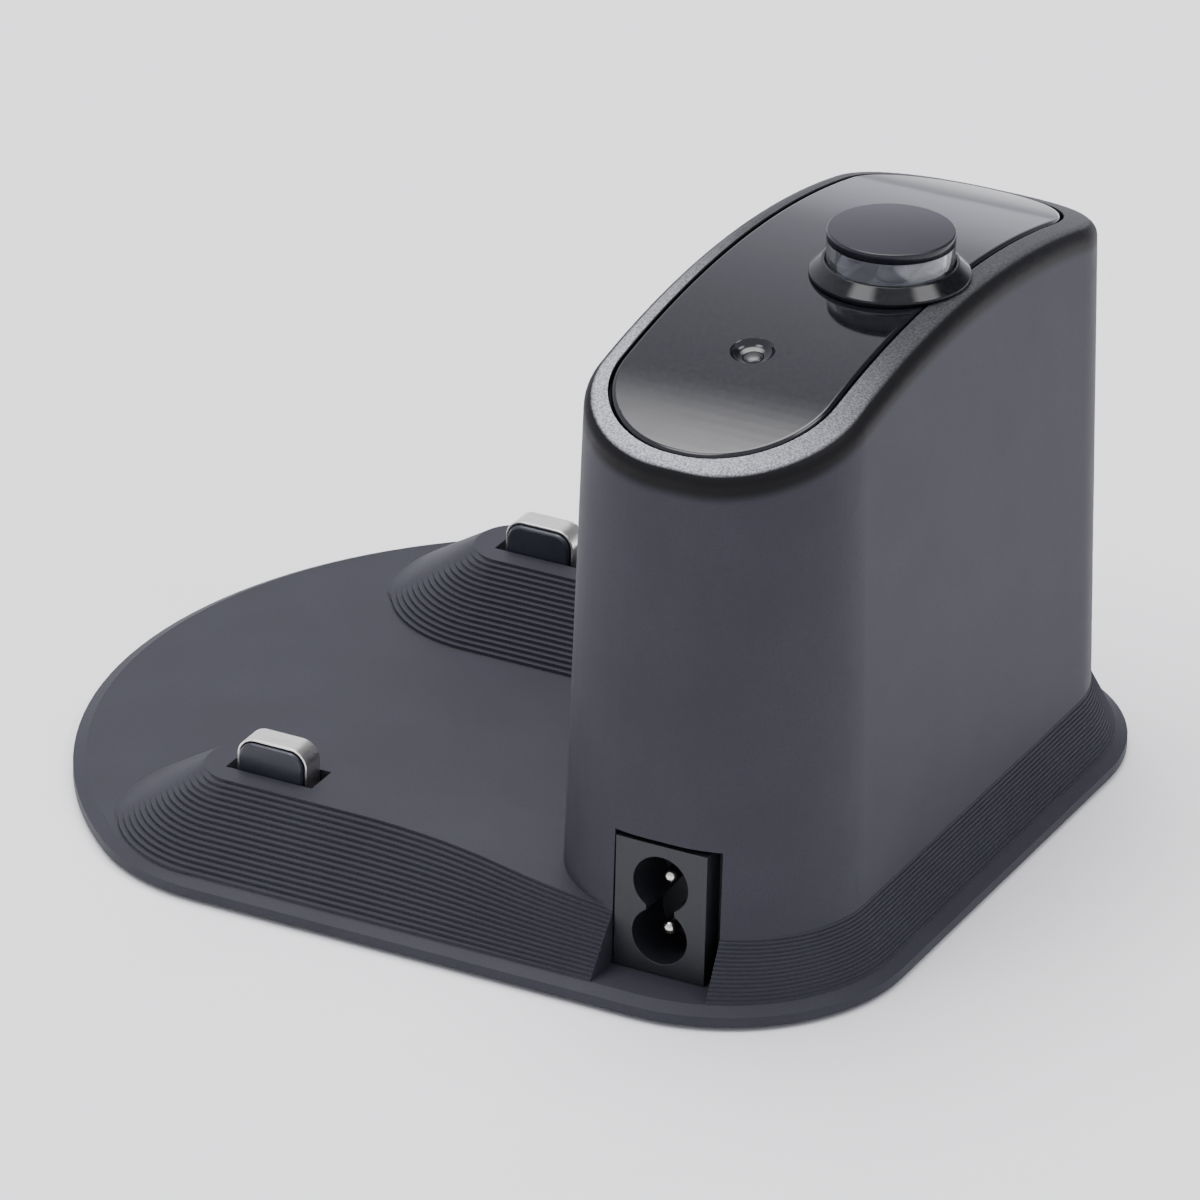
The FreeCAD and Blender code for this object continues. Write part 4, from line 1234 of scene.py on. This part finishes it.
@dataclass
class Studio:
    """Pale floor, soft lights and the camera."""

    target: Vector = field(default_factory=lambda: Vector((0.0, 0.01, 0.045)))
    camera_place: tuple[float, float, float] = (1.15200, 0.58568, 0.66581)
    azimuth: float = 116.7365
    elevation: float = 26.2318
    roll: float = 1.3066
    focal_px: float = 9411.13
    frame_px: float = 1200.0
    sensor_mm: float = 36.0
    sight: float = 100.0
    floor_size: float = 12.0
    sky: str = "#dedee9"
    surround: float = 1.42
    dark: float = 0.2
    dark_azimuth: float = 246.0
    dark_elevation: float = 34.0
    dark_core: float = 14.0
    dark_reach: float = 40.0
    backdrop: float = 0.65
    backdrop_azimuth: float = 293.0
    backdrop_reach: float = 17.0
    lights: tuple[SoftBox, ...] = (
        SoftBox("box_left", 59.0, 60.0, 1.3, 0.8, 0.7, 11.0),
        SoftBox("box_right", 191.0, 54.0, 1.3, 0.8, 0.7, 10.0),
        SoftBox("ceiling_glow", 312.0, 76.0, 1.3, 1.3, 1.3, 44.0),
    )

    @staticmethod
    def away(azimuth: float, elevation: float) -> Vector:
        """Direction from the object towards a viewer at an azimuth and elevation in degrees."""
        a, e = math.radians(azimuth), math.radians(elevation)
        return Vector((math.sin(a) * math.cos(e), -math.cos(a) * math.cos(e), math.sin(e)))

    def floor(self) -> None:
        """Lay the pale matt floor."""
        mesh = bmesh.new()
        bmesh.ops.create_grid(mesh, x_segments=1, y_segments=1, size=self.floor_size / 2)
        item = loose("studio_floor", mesh)
        item.data.materials.append(FLOOR_PAPER.material())

    def light(self, box: SoftBox) -> None:
        """Hang one soft light and point it at the dock.

        Args:
            box: The light's place, size and power.
        """
        data = bpy.data.lights.new(box.name, "AREA")
        data.shape = "RECTANGLE"
        data.size = box.width
        data.size_y = box.height
        data.energy = box.power
        data.use_nodes = True
        tree = data.node_tree
        across = add(tree, "NewGeometry").outputs["Parametric"]
        offset = add(tree, "VectorMath", {0: across, 1: LIGHT_MIDDLE}, operation="DISTANCE")
        glow = fade(tree, offset.outputs["Value"], box.even / 2, 0.5, 1.0, 0.0)
        feed(tree, tree.nodes["Emission"], {"Strength": glow})
        item = bpy.data.objects.new(box.name, data)
        back = self.away(box.azimuth, box.elevation)
        item.location = self.target + back * box.distance
        item.rotation_euler = back.to_track_quat("Z", "Y").to_euler()
        bpy.context.scene.collection.objects.link(item)

    def camera(self) -> None:
        """Set the long-lens camera at the photograph's place."""
        data = bpy.data.cameras.new("camera")
        data.sensor_width = self.sensor_mm
        data.lens = self.focal_px / self.frame_px * self.sensor_mm
        data.clip_end = self.sight
        item = bpy.data.objects.new("camera", data)
        back = self.away(self.azimuth, self.elevation)
        a = math.radians(self.azimuth)
        right = Vector((math.cos(a), math.sin(a), 0))
        turn = Matrix((right, back.cross(right), back)).transposed().to_4x4()
        roll = Matrix.Rotation(math.radians(self.roll), 4, "Z")
        item.matrix_world = Matrix.Translation(self.camera_place) @ turn @ roll
        bpy.context.scene.collection.objects.link(item)
        bpy.context.scene.camera = item

    def world(self) -> None:
        """Make pale surroundings, brighter at the backdrop, with a dark side that gives the edges depth."""
        world = bpy.data.worlds.new("studio_world")
        world.use_nodes = True
        tree = world.node_tree
        way = add(tree, "TexCoord").outputs["Generated"]
        facing = dot(tree, way, self.away(self.dark_azimuth, self.dark_elevation))
        level = fade(tree, facing, cosine(self.dark_reach), cosine(self.dark_core), self.surround, self.dark)
        ahead = dot(tree, way, self.away(self.backdrop_azimuth, 0.0))
        sweep = fade(tree, ahead, cosine(self.backdrop_reach), 1.0, 0.0, self.backdrop)
        total = add(tree, "Math", {0: level, 1: sweep}, operation="ADD")
        feed(tree, tree.nodes["Background"], {"Color": linear(self.sky), "Strength": total.outputs[0]})
        bpy.context.scene.world = world

    def build(self) -> None:
        """Set up the studio."""
        self.world()
        self.floor()
        for box in self.lights:
            self.light(box)
        self.camera()


def main() -> None:
    """Build the studio and every sub-assembly in order."""
    logging.basicConfig(level=logging.INFO, format="%(message)s")
    parts: list[Any] = [
        Studio(), Housing(), TopLid(), SignalDome(), ChargingContact(Side.LEFT), ChargingContact(Side.RIGHT),
        MainsInlet(), Underside(), PowerSupply()]
    for part in parts:
        part.build()
        log.info("built %s", type(part).__name__)


if __name__ == "__main__":
    main()
